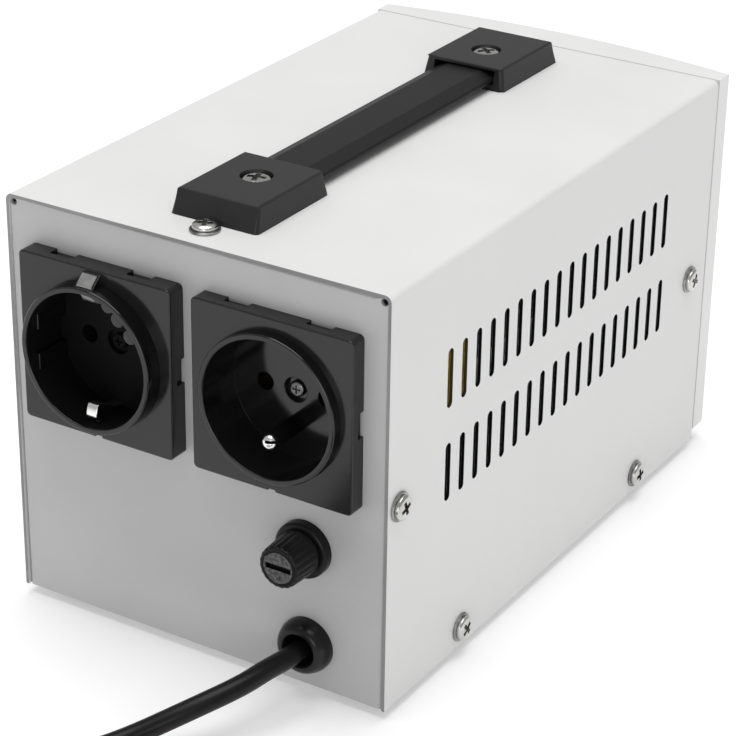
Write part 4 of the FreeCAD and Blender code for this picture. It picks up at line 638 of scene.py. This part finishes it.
cover = dict(
    half=0.061, low=0.003, high=0.125, deep=0.189, sheet=0.001, bend=0.002, bendSteps=8,
    edge=0.00022,
    ventCount=18, ventPitch=0.00745, ventWidth=0.00275, ventLength=0.0173, ventStart=0.0303,
    ventRound=0.499, ventRoundSteps=5, rows=(0.0902, 0.0623), reach=0.002,
    wallBand=0.0006, wallLean=0.35, wallFront=0.004, wallBack=0.02, wallHeights=(0.05, 0.1),
    litVents=1.5, litHeight=0.08, cutBand=0.0003, cutLean=0.6,
)


def coverShell(values):
    path = []
    for inset, bend in ((0.0, values["bend"]), (values["sheet"], values["bend"] - values["sheet"])):
        half = values["half"] - inset
        high = values["high"] - inset
        line = [(-half, values["low"])]
        for middle, start in ((-half + bend, 180), (half - bend, 90)):
            line += arcPoints((middle, high - bend), bend, start, start - 90, values["bendSteps"])
        line.append((half, values["low"]))
        path += line if inset == 0 else line[::-1]
    work = bmesh.new()
    rear = [work.verts.new((x, rearY, z)) for x, z in path]
    front = [work.verts.new((x, rearY - values["deep"], z)) for x, z in path]
    half = len(path) // 2
    for index in range(half - 1):
        other = 2 * half - 1 - index
        work.faces.new((rear[index], rear[index + 1], rear[other - 1], rear[other]))
        work.faces.new((front[index], front[other], front[other - 1], front[index + 1]))
    for index in range(len(path)):
        after = (index + 1) % len(path)
        work.faces.new((rear[index], front[index], front[after], rear[after]))
    bmesh.ops.recalc_face_normals(work, faces=work.faces)
    return newItem("coverSheet", endMesh(work, "coverShell"))


def ventTree(values):
    sizes = ("Pitch", "Width", "Length", "Reach", "First", "Upper", "Lower")
    inputs = dict(Count="Int", **dict.fromkeys(sizes, "Float"), Finish="Material")
    tree, start, link = newTree("ventRows", inputs)

    def times(source, factor):
        product = addNode(tree, "ShaderNodeMath", operation="MULTIPLY")
        product.inputs[1].default_value = factor
        link(source, product.inputs[0])
        return product.outputs[0]

    def vector(**sources):
        joint = tree.nodes.new("ShaderNodeCombineXYZ")
        for axis, source in sources.items():
            link(source, joint.inputs[axis])
        return joint.outputs[0]

    outline = tree.nodes.new("GeometryNodeCurvePrimitiveQuadrilateral")
    link(start["Length"], outline.inputs["Height"])
    link(start["Width"], outline.inputs["Width"])
    rounded = addNode(tree, "GeometryNodeFilletCurve", mode="POLY", Count=values["ventRoundSteps"])
    link(times(start["Width"], values["ventRound"]), rounded.inputs["Radius"])
    link(outline.outputs["Curve"], rounded.inputs["Curve"])
    line = tree.nodes.new("GeometryNodeCurvePrimitiveLine")
    link(vector(Z=times(start["Reach"], -1)), line.inputs["Start"])
    link(vector(Z=start["Reach"]), line.inputs["End"])
    prism = addNode(tree, "GeometryNodeCurveToMesh", **{"Fill Caps": True})
    link(line.outputs["Curve"], prism.inputs["Curve"])
    link(rounded.outputs["Curve"], prism.inputs["Profile Curve"])
    step = vector(Y=times(start["Pitch"], -1))
    both = tree.nodes.new("GeometryNodeJoinGeometry")
    for level in ("Upper", "Lower"):
        row = addNode(tree, "GeometryNodeMeshLine", mode="OFFSET")
        link(start["Count"], row.inputs["Count"])
        link(vector(Y=start["First"], Z=start[level]), row.inputs["Start Location"])
        link(step, row.inputs["Offset"])
        link(row.outputs["Mesh"], both.inputs["Geometry"])
    _, vents = addPlaces(tree, both.outputs["Geometry"], prism.outputs["Mesh"],
                         Rotation=(math.pi / 2, 0, math.pi / 2))
    cut = addNode(tree, "GeometryNodeMeshBoolean", operation="DIFFERENCE")
    link(start["Geometry"], cut.inputs["Mesh 1"])
    link(vents, cut.inputs["Mesh 2"])
    return endTree(tree, cut.outputs["Mesh"], start["Finish"])


def makeCover(values):
    item = coverShell(values)
    first = rearY - values["ventStart"]
    upper, lower = values["rows"]
    runTree(item, ventTree(values), dict(
        Count=values["ventCount"], Pitch=values["ventPitch"], Width=values["ventWidth"],
        Length=values["ventLength"], Reach=values["half"] + values["reach"],
        First=first, Upper=upper, Lower=lower, Finish=looks["case_white"]))
    easeEdges(item, values["edge"], 2, 40)
    settle(item, "coverSheet", "cover", 30)
    middle = values["half"] - values["sheet"] / 2
    start, end = first + values["wallFront"], rearY - values["deep"] + values["wallBack"]
    foot, head = values["wallHeights"]
    lit = first - values["litVents"] * values["ventPitch"]

    def onVentWall(spot, normal):
        return (abs(abs(spot.x) - middle) < values["wallBand"] and end < spot.y < start
                and foot < spot.z < head and abs(normal.x) < values["wallLean"])

    paintFaces(item, "ventShade", onVentWall)
    # Painted reflection: the walls of the first two upper vents of one side are painted dark yellow
    # for the yellow part behind them
    paintFaces(item, "ventYellowReflection", lambda spot, normal: onVentWall(spot, normal)
               and spot.x < 0 and spot.y > lit and spot.z > values["litHeight"])
    # Painted shade: the cover's rear cut edges are painted dark grey for the shaded line where the
    # cover meets the rear panel
    paintFaces(item, "coverEdgeShade", lambda spot, normal: spot.y > rearY - values["cutBand"]
               and normal.y > values["cutLean"])


makeCover(cover)
print("cover made")


# Screws of the case and of the handle

screw = dict(
    headRadius=0.0035, headHeight=0.0016, headSkirt=0.4, headDome=0.53, headFlat=0.5, headSteps=8,
    base=0.0008, shankRadius=0.0017, shank=0.006, crossArm=0.0021, crossWidth=0.0012,
    crossDepth=0.0016, edge=0.00008,
    washerRadius=0.0042, washerHole=0.00172, washerHeight=0.00075, washerRound=0.0002,
    washerFoot=0.00015,
    # back from the rear edge, height and twist; the one in the top starts with its x
    side=((0.0055, 0.0635, 20), (0.1775, 0.0635, 65), (0.040, 0.009, 40), (0.147, 0.009, 10)),
    sideX=0.061, top=(0.0015, 0.0087, 0.125, 25),
)
handleScrew = dict(screw, headHeight=0.0017, base=0, shank=0.0105, scale=1.26, x=0.002,
                   level=0.1297, rows=((0.03325, 15), (0.15675, 50)))


def makeWasher(values):
    hole, rim, high = values["washerHole"], values["washerRadius"], values["washerHeight"]
    turn, foot = values["washerRound"], values["washerFoot"]
    return turnedItem("washer", [(hole, 0), (rim - foot, 0), (rim, foot), (rim, high - turn),
                                 (rim - turn, high), (hole, high), (hole, 0)], 48)


def makeScrewHead(values):
    base, high, radius = values["base"], values["headHeight"], values["headRadius"]
    shank, flat, top = values["shankRadius"], values["headFlat"], high + base
    profile = [(0, -values["shank"]), (shank, -values["shank"]), (shank, base), (radius, base),
               (radius, base + high * values["headSkirt"])]
    for step in range(1, values["headSteps"] + 1):
        angle = math.radians(90 * step / values["headSteps"])
        rise = values["headSkirt"] + values["headDome"] * math.sin(angle)
        profile.append((radius * (flat + (1 - flat) * math.cos(angle)), base + high * rise))
    item = turnedItem("screwHead", profile + [(0, top)], 48)
    arm, half, low = values["crossArm"], values["crossWidth"] / 2, top - values["crossDepth"]
    tools = [boxItem("cross", ((-x, -y, low), (x, y, top + spare)))
             for x, y in ((arm, half), (half, arm))]
    return carve(item, tools, values["edge"], 2, 40)


def makeScrews(values, handle):
    spots = [((side * values["sideX"], rearY - back, level), (side, 0, 0), twist)
             for side in (-1, 1) for back, level, twist in values["side"]]
    x, back, level, twist = values["top"]
    spots.append(((x, rearY - back, level), (0, 0, 1), twist))
    placeParts("coverScrews", "cover_screws", makeScrewHead(values), spots)
    washers = placeParts("coverWashers", "cover_screw_washers", makeWasher(values), spots)
    washers.data.materials[0] = looks["washerGrey"]
    spots = [((handle["x"], rearY - back, handle["level"]), (0, 0, 1), twist)
             for back, twist in handle["rows"]]
    placeParts("handleScrews", "handle_screws", makeScrewHead(handle), spots, handle["scale"])


makeScrews(screw, handleScrew)
print("screws set")


# Sockets: a plate, a turned cup, the body behind the wall, and what stands in the left well

socket = dict(
    level=0.0874, half=0.025, corner=0.0015, cornerSteps=6, chamfer=0.0005, wall=0.0005,
    edge=0.00016, body=0.0218, bodyDepth=0.024, bodyEdge=0.0006, inside=0.0205, base=0.0219,
    rim=0.0212, well=0.0196, lip=0.00045, mouth=0.00035, floorRound=0.00004, inset=0.0002,
    notchHalf=0.00365, notchDepth=0.001, notchLip=0.0026, notchOffset=0.0127,
    bottomNotch=0.0013, bottomNotchDepth=0.0008, bottomNotchTop=0.02,
    plateBore=(-0.01, 0.03), bodyBore=(-0.03, 0.03),
    holePitch=0.0095, hole=0.0026, holeEnd=-0.022, recess=0.0035, recessDepth=0.0015,
    left=dict(plate=0.0055, reach=0.0106, floor=0.0045, x=0.028),
    right=dict(plate=0.0047, reach=0.0076, floor=0.0070, x=-0.028),
    paintLean=0.6, paintBand=0.0006, plateFrom=0.0200, wellBand=0.0001,
)
inWell = dict(
    # radius and height of the points that each strip and the ramp pass
    upper=((0.0238, 0.0064), (0.0212, 0.0093), (0.0204, 0.0078), (0.0190, 0.0077),
           (0.01615, 0.0062), (0.01675, 0.0046), (0.0180, 0.0006), (0.0185, -0.0045)),
    lower=((0.0203, 0.0052), (0.0190, 0.0060), (0.0174, 0.0080), (0.0140, 0.0071),
           (0.0146, 0.0050), (0.0172, 0.0006), (0.0180, -0.0045)),
    ramp=((0.0202, 0.0050), (0.0202, 0.0100), (0.0208, 0.0100), (0.0240, 0.0064), (0.0244, 0.0050)),
    upperHalf=0.0024, lowerHalf=0.0017, clipThick=0.0009, clipEdge=0.00018, gap=0.0002,
    rampHalf=0.0029, lugLow=0.0036, lugHigh=0.0084, lugFace=0.0176, lugBack=0.0199,
    lugFoot=0.0005, lugTop=0.0075, lugEdge=0.0003, well=0.0196,
    bumps=((36, 0.0029), (53, 0.0029), (66, 0.0017), (76, 0.0007)),  # angle and reach
    bumpRadius=0.0021, bumpTop=0.0102, bumpFoot=0.0076, bumpRound=0.0003, bumpWithin=0.0208,
)
earthPin = dict(offset=0.0100, radius=0.0024, reach=0.0070, foot=0.0019, end=-0.030, tipAngle=82,
                slot=0.0004, slotRise=0.0007, slotDepth=0.0016, slotFrom=-0.0003, slotTo=0.003,
                edge=0.00006, bright=0.0020, slotBand=0.00008, slotPaint=0.0005)


def cupProfile(values, kind):
    reach, deep = kind["reach"], -kind["floor"]
    lip, mouth, turn, inset = values["lip"], values["mouth"], values["floorRound"], values["inset"]
    shell, recess = values["body"] - inset, values["recess"]
    profile = [(0, -values["bodyDepth"]), (shell, -values["bodyDepth"]), (shell, -values["wall"]),
               (values["base"], -values["wall"])]
    profile += arcPoints((values["rim"] - lip, reach - lip), lip, 0, 90)
    profile += arcPoints((values["well"] + mouth, reach - mouth), mouth, 90, 180)
    profile += arcPoints((values["well"] - turn, deep + turn), turn, 0, -90)
    return profile + [(recess + inset, deep), (recess, deep - inset),
                      (recess, deep - values["recessDepth"]), (0, deep - values["recessDepth"])]


def plateItem(values, kind):
    half, chamfer, top = values["half"], values["chamfer"], kind["plate"]
    rows = [(0, -values["wall"])]
    for angle in (0, 30, 60, 90):
        bend = math.radians(angle)
        rows.append((chamfer * (1 - math.cos(bend)), top - chamfer + chamfer * math.sin(bend)))
    loops = []
    for inset, height in rows:
        outline = roundedSquare(half - inset, values["corner"] - inset, values["cornerSteps"])
        loops.append([(x, y, height) for x, y in outline])
    low, high = -values["wall"] - spare, top - values["notchLip"]
    reach, deep, notch = half + spare, half - values["notchDepth"], values["notchHalf"]
    boxes = []
    for sign in (-1, 1):
        near, far = sorted((sign * reach, sign * deep))
        boxes.append(((near, -notch, low), (far, notch, high)))
        for middle in (-values["notchOffset"], values["notchOffset"]):
            boxes.append(((middle - notch, near, low), (middle + notch, far, high)))
    notch = values["bottomNotch"]
    boxes.append(((-notch, -reach, low),
                  (notch, values["bottomNotchDepth"] - half, values["bottomNotchTop"])))
    tools = [boxItem("notches", *boxes),
             rodItem("bore", values["inside"], *values["plateBore"], 96)]
    return carve(loftItem("plate", loops), tools, values["edge"], 2, 50)


def bodyItem(values):
    half = values["body"]
    item = boxItem("body", ((-half, -half, -values["bodyDepth"]), (half, half, -values["wall"])))
    bore = rodItem("bore", values["inside"], *values["bodyBore"], 96)
    return carve(item, [bore], values["bodyEdge"], 3, 50)


def bendSpot(start, corner, end, share):
    return start * (1 - share) ** 2 + corner * 2 * share * (1 - share) + end * share ** 2


# A line with its corners rounded
def softLine(line, reach=0.0011, most=0.42, steps=4):
    line = [Vector(point) for point in line]
    points = line[:1]
    for before, corner, after in zip(line, line[1:], line[2:]):
        ways = (before - corner, after - corner)
        start, end = [corner + way.normalized() * min(reach, way.length * most) for way in ways]
        points += [bendSpot(start, corner, end, step / steps) for step in range(steps + 1)]
    return points + line[-1:]


# A bent strip along a line of radius and height, on the well's upper side (1) or its lower (-1)
def stripItem(name, line, way, half, thick, soft=True):
    points = softLine(line) if soft else [Vector(point) for point in line]
    loops = []
    for index, point in enumerate(points):
        ahead, behind = points[min(index + 1, len(points) - 1)], points[max(index - 1, 0)]
        along = (ahead - behind).normalized()
        side = Vector((-along.y, along.x)) * thick / 2
        loops.append([(x, way * (point.x + sign * side.x), point.y + sign * side.y)
                      for x, sign in ((-half, -1), (half, -1), (half, 1), (-half, 1))])
    return loftItem(name, loops)


def bumpItem(values, turn, reach, inside):
    radius, foot, top, soft = (values["bump" + key] for key in ("Radius", "Foot", "Top", "Round"))
    profile = [(0, foot), (radius, foot)] + arcPoints((radius - soft, top - soft), soft, 0, 90, 3)
    bump = turnedItem("bump", profile + [(0, top)], 32)
    away, angle = values["well"] - reach + radius, math.radians(turn)
    bump.location = (away * math.cos(angle), away * math.sin(angle), 0)
    cutAway(bump, inside, "INTERSECT")
    return bake(bump)


def wellPieces(values, kind):
    ramp = [[(x, radius, height) for radius, height in values["ramp"]]
            for x in (-values["rampHalf"], values["rampHalf"])]
    boxes = []
    for sign in (-1, 1):
        for level in (-1, 1):
            across = sorted((sign * values["lugFace"], sign * values["lugBack"]))
            up = sorted((level * values["lugLow"], level * values["lugHigh"]))
            boxes.append(((across[0], up[0], -kind["floor"] - values["lugFoot"]),
                          (across[1], up[1], values["lugTop"])))
    pieces = [loftItem("ramp", ramp), boxItem("lugs", *boxes)]
    easeEdges(pieces[1], values["lugEdge"], 3, 50)
    inside = rodItem("inside", values["bumpWithin"], -0.02, 0.02, 96)
    pieces += [bumpItem(values, turn, reach, inside) for turn, reach in values["bumps"]]
    dropItems([inside])
    return pieces


def makeSocket(name, values, kind, extras=(), cuts=()):
    cup = turnedItem("cup", cupProfile(values, kind), 128)
    deep = -kind["floor"]
    tools = [rodItem("pinHole", values["hole"], values["holeEnd"], deep + spare) for _ in range(2)]
    tools[0].location.x, tools[1].location.x = -values["holePitch"], values["holePitch"]
    tools += cuts
    for tool in tools:
        cutAway(cup, tool)
    bake(cup)
    pieces = [plateItem(values, kind), bodyItem(values), cup]
    for piece in extras:
        for tool in cuts:
            cutAway(piece, tool)
        easeEdges(piece, values["edge"], 2, 50)
        pieces.append(bake(piece))
    dropItems(tools)
    item = joinItems(name, pieces)
    faceRear(item, kind["x"], values["level"])
    settle(item, name + "Shape", name, 38)

    def away(spot):
        return math.hypot(spot.x - kind["x"], spot.z - values["level"])

    paintFaces(item, "plateBlack", lambda spot, normal: away(spot) > values["plateFrom"]
               and abs(spot.y - rearY - kind["plate"]) < values["paintBand"]
               and normal.y > values["paintLean"])
    # Painted shade: the left well's floor and inner wall are painted nearly black
    if extras:
        paintFaces(item, "wellShade", lambda spot, normal: spot.y - rearY < values["inset"] + deep
                   or (abs(away(spot) - values["well"]) < values["wellBand"]
                       and spot.y - rearY < kind["reach"] - values["mouth"] + values["wellBand"]))


# The clips' lines, and a little wider the slots that they stand in
def clipItems(values, name, gap, soft):
    thick = values["clipThick"] + 2 * gap
    return [stripItem(name, values[key], way, values[key + "Half"] + gap, thick, soft)
            for key, way in (("upper", 1), ("lower", -1))]


def makeClips(values, x, level):
    clips = clipItems(values, "clip", 0, True)
    for clip in clips:
        easeEdges(clip, values["clipEdge"], 3, 50)
    item = joinItems("earthClips", clips)
    faceRear(item, x, level)
    settle(item, "earthClips", "left_socket_earth_clips", 40)
    # Painted light on one metal: the upper clip is painted darker as painted shade, the lower clip
    # lighter as a painted highlight
    paintFaces(item, "clipShade", lambda spot, normal: spot.z > level)
    paintFaces(item, "tipHighlight", lambda spot, normal: spot.z < level)


def makeEarthPin(values, kind, level):
    radius, reach, foot = values["radius"], values["reach"], values["foot"]
    slot, rise, depth = values["slot"], values["slotRise"], values["slotDepth"]
    profile = [(0, values["end"]), (foot, values["end"]), (foot, -kind["floor"]),
               (radius, -kind["floor"])]
    profile += arcPoints((0, reach - radius), radius, 0, values["tipAngle"], 9) + [(0, reach)]
    tool = boxItem("slot", ((values["slotFrom"], rise - slot, reach - depth),
                            (values["slotTo"], rise + slot, reach + spare)))
    item = carve(turnedItem("earthPin", profile, 48), [tool], values["edge"], 2, 50)
    item.location = (0, -values["offset"], 0)
    bake(item)
    faceRear(item, kind["x"], level)
    settle(item, "earthPin", "right_socket_earth_pin", 40)
    # Painted light on the pin's one metal: painted shade on the shaft and in the tip's slot, a
    # painted highlight on the tip
    bright, middle = rearY + reach - values["bright"], level - values["offset"] + rise
    paintFaces(item, "wellShade", lambda spot, normal: spot.y < bright)
    paintFaces(item, "tipHighlight", lambda spot, normal: spot.y >= bright)
    floor, half = rearY + reach - depth - values["slotBand"], slot + values["slotBand"]
    paintFaces(item, "wellShade", lambda spot, normal: abs(spot.z - middle) < half
               and spot.y > floor and spot.x < kind["x"] + values["slotPaint"])


left, right = socket["left"], socket["right"]
slots = clipItems(inWell, "slot", inWell["gap"], False)
makeSocket("left_socket", socket, left, wellPieces(inWell, left), slots)
makeSocket("right_socket", socket, right)
makeClips(inWell, left["x"], socket["level"])
makeEarthPin(earthPin, right, socket["level"])
wellScrews = dressNode("socket_centre_screws")
# Painted shade on the centre screws: the right well's screw (x < 0) is darkened, the left well's
# painted nearly black
paintFaces(wellScrews, "wellScrewShade", lambda spot, normal: spot.x < 0)
paintFaces(wellScrews, "wellShade", lambda spot, normal: spot.x > 0)
print("sockets made")


# Fuse holder with its fluted cap, and the cord gland

fuse = dict(
    x=-0.0355, level=0.0456, wall=-0.0005, soft=0.0003, flange=0.0082, flangeReach=0.0026,
    flangeRound=0.0010, flangeFoot=0.0001, barrel=0.0060, barrelEnd=-0.0270, bore=0.0048,
    boreEnd=-0.0105, core=0.0030, coreEnd=-0.0240, hole=0.00155,
    capRadius=0.0066, capTip=0.00605, capReach=0.0127, capFoot=0.0029, capRound=0.0007,
    footRound=0.0002, stem=0.00472, stemEnd=-0.0090, capBore=0.0027, capBoreEnd=-0.0021,
    flutes=20, fluteSteps=10, fluteDepth=0.00022, fluteFoot=0.0047, fluteStart=0.0004,
    slotHalf=0.0039, slotWidth=0.0016, slotDepth=0.0012, ringRadius=0.0047, ringHalf=0.00025,
    ringFloor=0.0001, ringDepth=0.0002, edge=0.0001, paintBand=0.0003, paintLean=0.8,
)
gland = dict(
    x=-0.0362, level=0.0159, mouth=0.0048, reach=0.0046, radius=0.0081, wall=-0.0005,
    dome=((0.0060, 0.0046), (0.0074, 0.0043), (0.0081, 0.0010)),
    domeShares=(0, 0.15, 0.3, 0.45, 0.6, 0.75, 0.9, 1), body=0.0062, bodyEnd=-0.0120, bore=0.0030,
    soft=0.0004, barb=0.0006, barbFoot=-0.0019, barbTop=-0.0016, throat=0.0022, throatEnd=-0.0001,
    throatRound=0.0002,
)


def makeFuseHolder(values):
    flange, reach, turn, foot = (values["flange" + key] for key in ("", "Reach", "Round", "Foot"))
    hole, barrel, bore, core = (values[key] for key in ("hole", "barrel", "bore", "core"))
    soft = values["soft"]
    profile = [(hole, values["barrelEnd"]), (barrel, values["barrelEnd"]), (barrel, values["wall"]),
               (flange - foot, values["wall"]), (flange, values["wall"] + foot)]
    profile += arcPoints((flange - turn, reach - turn), turn, 0, 90, 8)
    profile += [(bore + soft, reach), (bore, reach - soft), (bore, values["boreEnd"]),
                (core, values["boreEnd"]), (core, values["coreEnd"]), (hole, values["coreEnd"]),
                (hole, values["barrelEnd"])]
    item = turnedItem("fuseHolder", profile, 96)
    faceRear(item, values["x"], values["level"])
    settle(item, "fuseHolder", "fuse_holder", 38)


def makeFuseCap(values):
    wide, tip, foot, reach = (values["cap" + key] for key in ("Radius", "Tip", "Foot", "Reach"))
    bore, stem, ring = values["capBore"], values["stem"], values["ringRadius"]
    turn, depth, first = values["capRound"], values["fluteDepth"], values["fluteFoot"]

    def side(height):
        return wide + (tip - wide) * (height - foot) / (reach - foot)

    low = first - values["fluteStart"]
    profile = [(0, values["capBoreEnd"], 0), (bore, values["capBoreEnd"], 0),
               (bore, values["stemEnd"], 0), (stem, values["stemEnd"], 0), (stem, foot, 0),
               (wide - values["footRound"], foot, 0), (wide, foot + values["footRound"], 0),
               (side(low), low, 0)]
    for share in (0.25, 0.5, 0.75, 1.0):
        height = first + (share - 1) * values["soft"]
        profile.append((side(height), height, depth * math.sin(math.pi / 2 * share)))
    for share in (0.35, 0.7, 1.0):
        height = first + (reach - turn - first) * share
        profile.append((side(height), height, depth))
    for angle in (22, 45, 67, 90):
        bend = math.radians(angle)
        profile.append((tip - turn + turn * math.cos(bend), reach - turn + turn * math.sin(bend),
                        depth * math.cos(bend)))
    out, floor, below = values["ringHalf"], values["ringFloor"], reach - values["ringDepth"]
    profile += [(ring + out, reach, 0), (ring + floor, below, 0), (ring - floor, below, 0),
                (ring - out, reach, 0), (0, reach, 0)]
    item = turnedItem("fuseCap", profile, values["flutes"] * values["fluteSteps"], values["flutes"])
    half, thin = values["slotHalf"], values["slotWidth"] / 2
    low = reach - values["slotDepth"]
    tool = boxItem("slot", ((-half, -thin, low), (half, thin, reach + spare)))
    carve(item, [tool], values["edge"], 2, 60)
    faceRear(item, values["x"], values["level"])
    settle(item, "fuseCap", "fuse_cap", 40)
    paintFaces(item, "capEnd", lambda spot, normal: spot.y > rearY + reach - values["paintBand"]
               and normal.y > values["paintLean"]
               and math.hypot(spot.x - values["x"], spot.z - values["level"]) < ring + floor)


def makeGland(values):
    body, bore, mouth, reach = (values[key] for key in ("body", "bore", "mouth", "reach"))
    start, bend, end = [Vector(point) for point in values["dome"]]
    dome = [tuple(bendSpot(start, bend, end, share)) for share in values["domeShares"]]
    profile = [(bore, values["bodyEnd"]), (body - values["soft"], values["bodyEnd"]),
               (body + values["barb"], values["barbFoot"]), (body, values["barbTop"]),
               (body, values["wall"]), (values["radius"], values["wall"])] + dome[::-1]
    profile += [(mouth + values["soft"], reach), (mouth, reach - values["soft"]),
                (mouth - values["barb"], values["throat"]),
                (bore + values["throatRound"], values["throatEnd"]),
                (bore, values["wall"]), (bore, values["bodyEnd"])]
    item = turnedItem("cordGland", profile, 96)
    faceRear(item, values["x"], values["level"])
    settle(item, "cordGland", "cord_gland", 38)


makeFuseHolder(fuse)
makeFuseCap(fuse)
makeGland(gland)
print("fuse holder and gland made")


# Digit modules with unlit segments, and the rocker with its on and off marks

digits = dict(front=-0.1018, rows=(0.1007, 0.0853), columns=(-0.0094, 0.0, 0.0094), wide=0.0044,
              high=0.0084, segment=0.0038, thick=0.0010, rise=0.00012, dot=0.0005, dotAway=0.0035,
              ease=0.0002)
rocker = dict(upper=(0.027, -0.10684, 0.04144), upperAim=(0, -0.939, -0.345),
              lower=(0.027, -0.10579, 0.03351), lowerAim=(0, -0.996, 0.09),
              rise=0.00006, sink=-0.0002, barHalf=0.00028, barLong=0.0017, ring=0.0016, hole=0.0011,
              reach=0.0025, ease=0.0003)


def makeDigits(values):
    half, thin, rise = values["segment"] / 2, values["thick"] / 2, values["rise"]
    wide, high, front, forwards = values["wide"], values["high"], values["front"], (0, -1, 0)
    outline = [(-half, 0), (thin - half, thin), (half - thin, thin), (half, 0),
               (half - thin, -thin), (thin - half, -thin)]
    part = loftItem("segment", [[(x, y, z) for x, y in outline] for z in (-rise, rise)])
    dot = rodItem("dot", values["dot"], -rise, rise, 16)
    spots, dots = [], []
    for level in values["rows"]:
        for column in values["columns"]:
            spots += [((column, front, level + step * high / 2), forwards, 0)
                      for step in (-1, 0, 1)]
            spots += [((column + side * wide / 2, front, level + step * high / 4), forwards, 90)
                      for side in (-1, 1) for step in (-1, 1)]
            dots.append(((column + values["dotAway"], front, level - high / 2), forwards, 0))
    module = newItem("module", weldedCopy("display_digits"))
    easeEdges(module, values["ease"])
    item = joinItems("displayDigits", [module, scatterItem("segments", part, spots, "segmentPale"),
                                       scatterItem("dots", dot, dots, "segmentPale")])
    dropItems([part, dot])
    settle(item, "displayDigits", "display_digits")
    paintFaces(item, "moduleDark", lambda spot, normal: True)
    paintFaces(item, "segmentPale", lambda spot, normal: spot.y < front - rise / 2)


def makeRocker(values):
    high, sink, half, long = values["rise"], values["sink"], values["barHalf"], values["barLong"]
    bar = boxItem("bar", ((-half, -long, sink), (half, long, high)))
    hole, rim = values["hole"], values["ring"]
    ring = [(hole, sink), (rim, sink), (rim, high), (hole, high), (hole, sink)]
    ring = turnedItem("ring", ring, 40)
    marks = [(bar, "upper"), (ring, "lower")]
    for mark, key in marks:
        turn = Vector(values[key + "Aim"]).to_track_quat("Z", "Y").to_matrix().to_4x4()
        mark.matrix_world = Matrix.Translation(values[key]) @ turn
    body = newItem("rockerBody", weldedCopy("power_rocker"))
    easeEdges(body, values["ease"], 3)
    item = settle(joinItems("powerRocker", [body, bar, ring]), "powerRocker", "power_rocker")
    paintFaces(item, "markWhite", lambda spot, normal: any(
        (spot - Vector(values[key])).dot(Vector(values[key + "Aim"])) > high / 2
        and abs(spot.z - values[key][2]) < values["reach"] for _, key in marks))


makeDigits(digits)
makeRocker(rocker)
print("front pieces made")


# Pieces whose solids have the right shape

rounding = dict(sharp=0.5, bend=0.0006, bendX=0.0597, bendTop=0.1237, caseTop=0.1251,
                seam=-0.0929, seamX=0.0605, seamTop=0.1245, seamFoot=0.0065, seamPaint=-0.0937,
                seamLean=(0.05, 0.97))


# A rounding on the sharp edges whose two ends pass a test
def dressEdges(node, radius, segments, shortest, test):
    work = bmesh.new()
    work.from_mesh(weldedCopy(node))
    weight = work.edges.layers.float.new("bevel_weight_edge")
    for edge in work.edges:
        sharp = len(edge.link_faces) == 2 and edge.calc_face_angle(0) > rounding["sharp"]
        if sharp and edge.calc_length() > shortest and test(*[vert.co for vert in edge.verts]):
            edge[weight] = 1.0
    item = newItem(node + "Shape", endMesh(work, node))
    ease = easeEdges(item, radius, segments)
    ease.limit_method = "WEIGHT"
    ease.use_clamp_overlap = False
    return settle(item, node + "Shape", node, 38)


# The sheet's bend round the rear panel
def onRearBend(first, second):
    across = rounding["bendX"]
    return min(first.y, second.y) > rearY - rounding["bend"] and (
        max(first.x, second.x) < -across or min(first.x, second.x) > across
        or min(first.z, second.z) > rounding["bendTop"])


def aboveCase(first, second):
    return max(first.z, second.z) > rounding["caseTop"]


# The seam between the bezel and the cover
def onSeam(first, second):
    def onIt(spot):
        return spot.y > rounding["seam"] and (
            abs(spot.x) > rounding["seamX"] or spot.z > rounding["seamTop"]
            or spot.z < rounding["seamFoot"])

    return onIt(first) and onIt(second)


dressEdges("chassis", 0.0010, 5, 0.01, onRearBend)
dressEdges("handle_cap_rear", 0.0013, 4, 0.006, aboveCase)
dressEdges("handle_cap_front", 0.0013, 4, 0.006, aboveCase)
dressEdges("handle_strap", 0.0006, 4, 0.006, aboveCase)
bezel = dressEdges("front_bezel", 0.0008, 3, 0.01, onSeam)
leastLean, mostLean = rounding["seamLean"]
paintFaces(bezel, "seamShade", lambda spot, normal: spot.y > rounding["seamPaint"]
           and leastLean < normal.y < mostLean)
easedNodes = dict(
    rubber_feet=0.0004, switch_frame=0.0002, delay_button=0, indicator_lamps=0,
    display_window=0.0002, transformer_core=0.0003, transformer_winding=0.0005,
    transformer_bobbin=0.0002, transformer_frame=0.0002, filter_capacitor=0.0003, relays=0.0004,
    capacitors=0, heat_sink=0.0001, terminal_block=0.0004,
)
for node, ease in easedNodes.items():
    dressNode(node, ease)
# The other nodes show as they are, in their finish
for node, item in frame["nodes"].items():
    if not item.hide_render:
        item.data.materials.clear()
        item.data.materials.append(looks[slotOf[node]])
print("solids dressed")


# Floor

floor = dict(half=4, tones=(0.80, 0.804), rough=(0.7, 0.8), cloud=2, gloss=0.2, glow=0.27)


def makeFloor(values):
    look = makeFinish("paleFloor", values["tones"], values["rough"], depth=0, cloud=values["cloud"],
                      gloss=values["gloss"])
    shader = look.node_tree.nodes["Principled BSDF"]
    shader.inputs["Emission Color"].default_value = (1, 1, 1, 1)
    shader.inputs["Emission Strength"].default_value = values["glow"]
    half = values["half"]
    corners = [(-half, -half, 0), (half, -half, 0), (half, half, 0), (-half, half, 0)]
    mesh = bpy.data.meshes.new("floor")
    mesh.from_pydata(corners, [], [(0, 1, 2, 3)])
    mesh.materials.append(look)
    newItem("floor", mesh)


makeFloor(floor)

print("scene done")
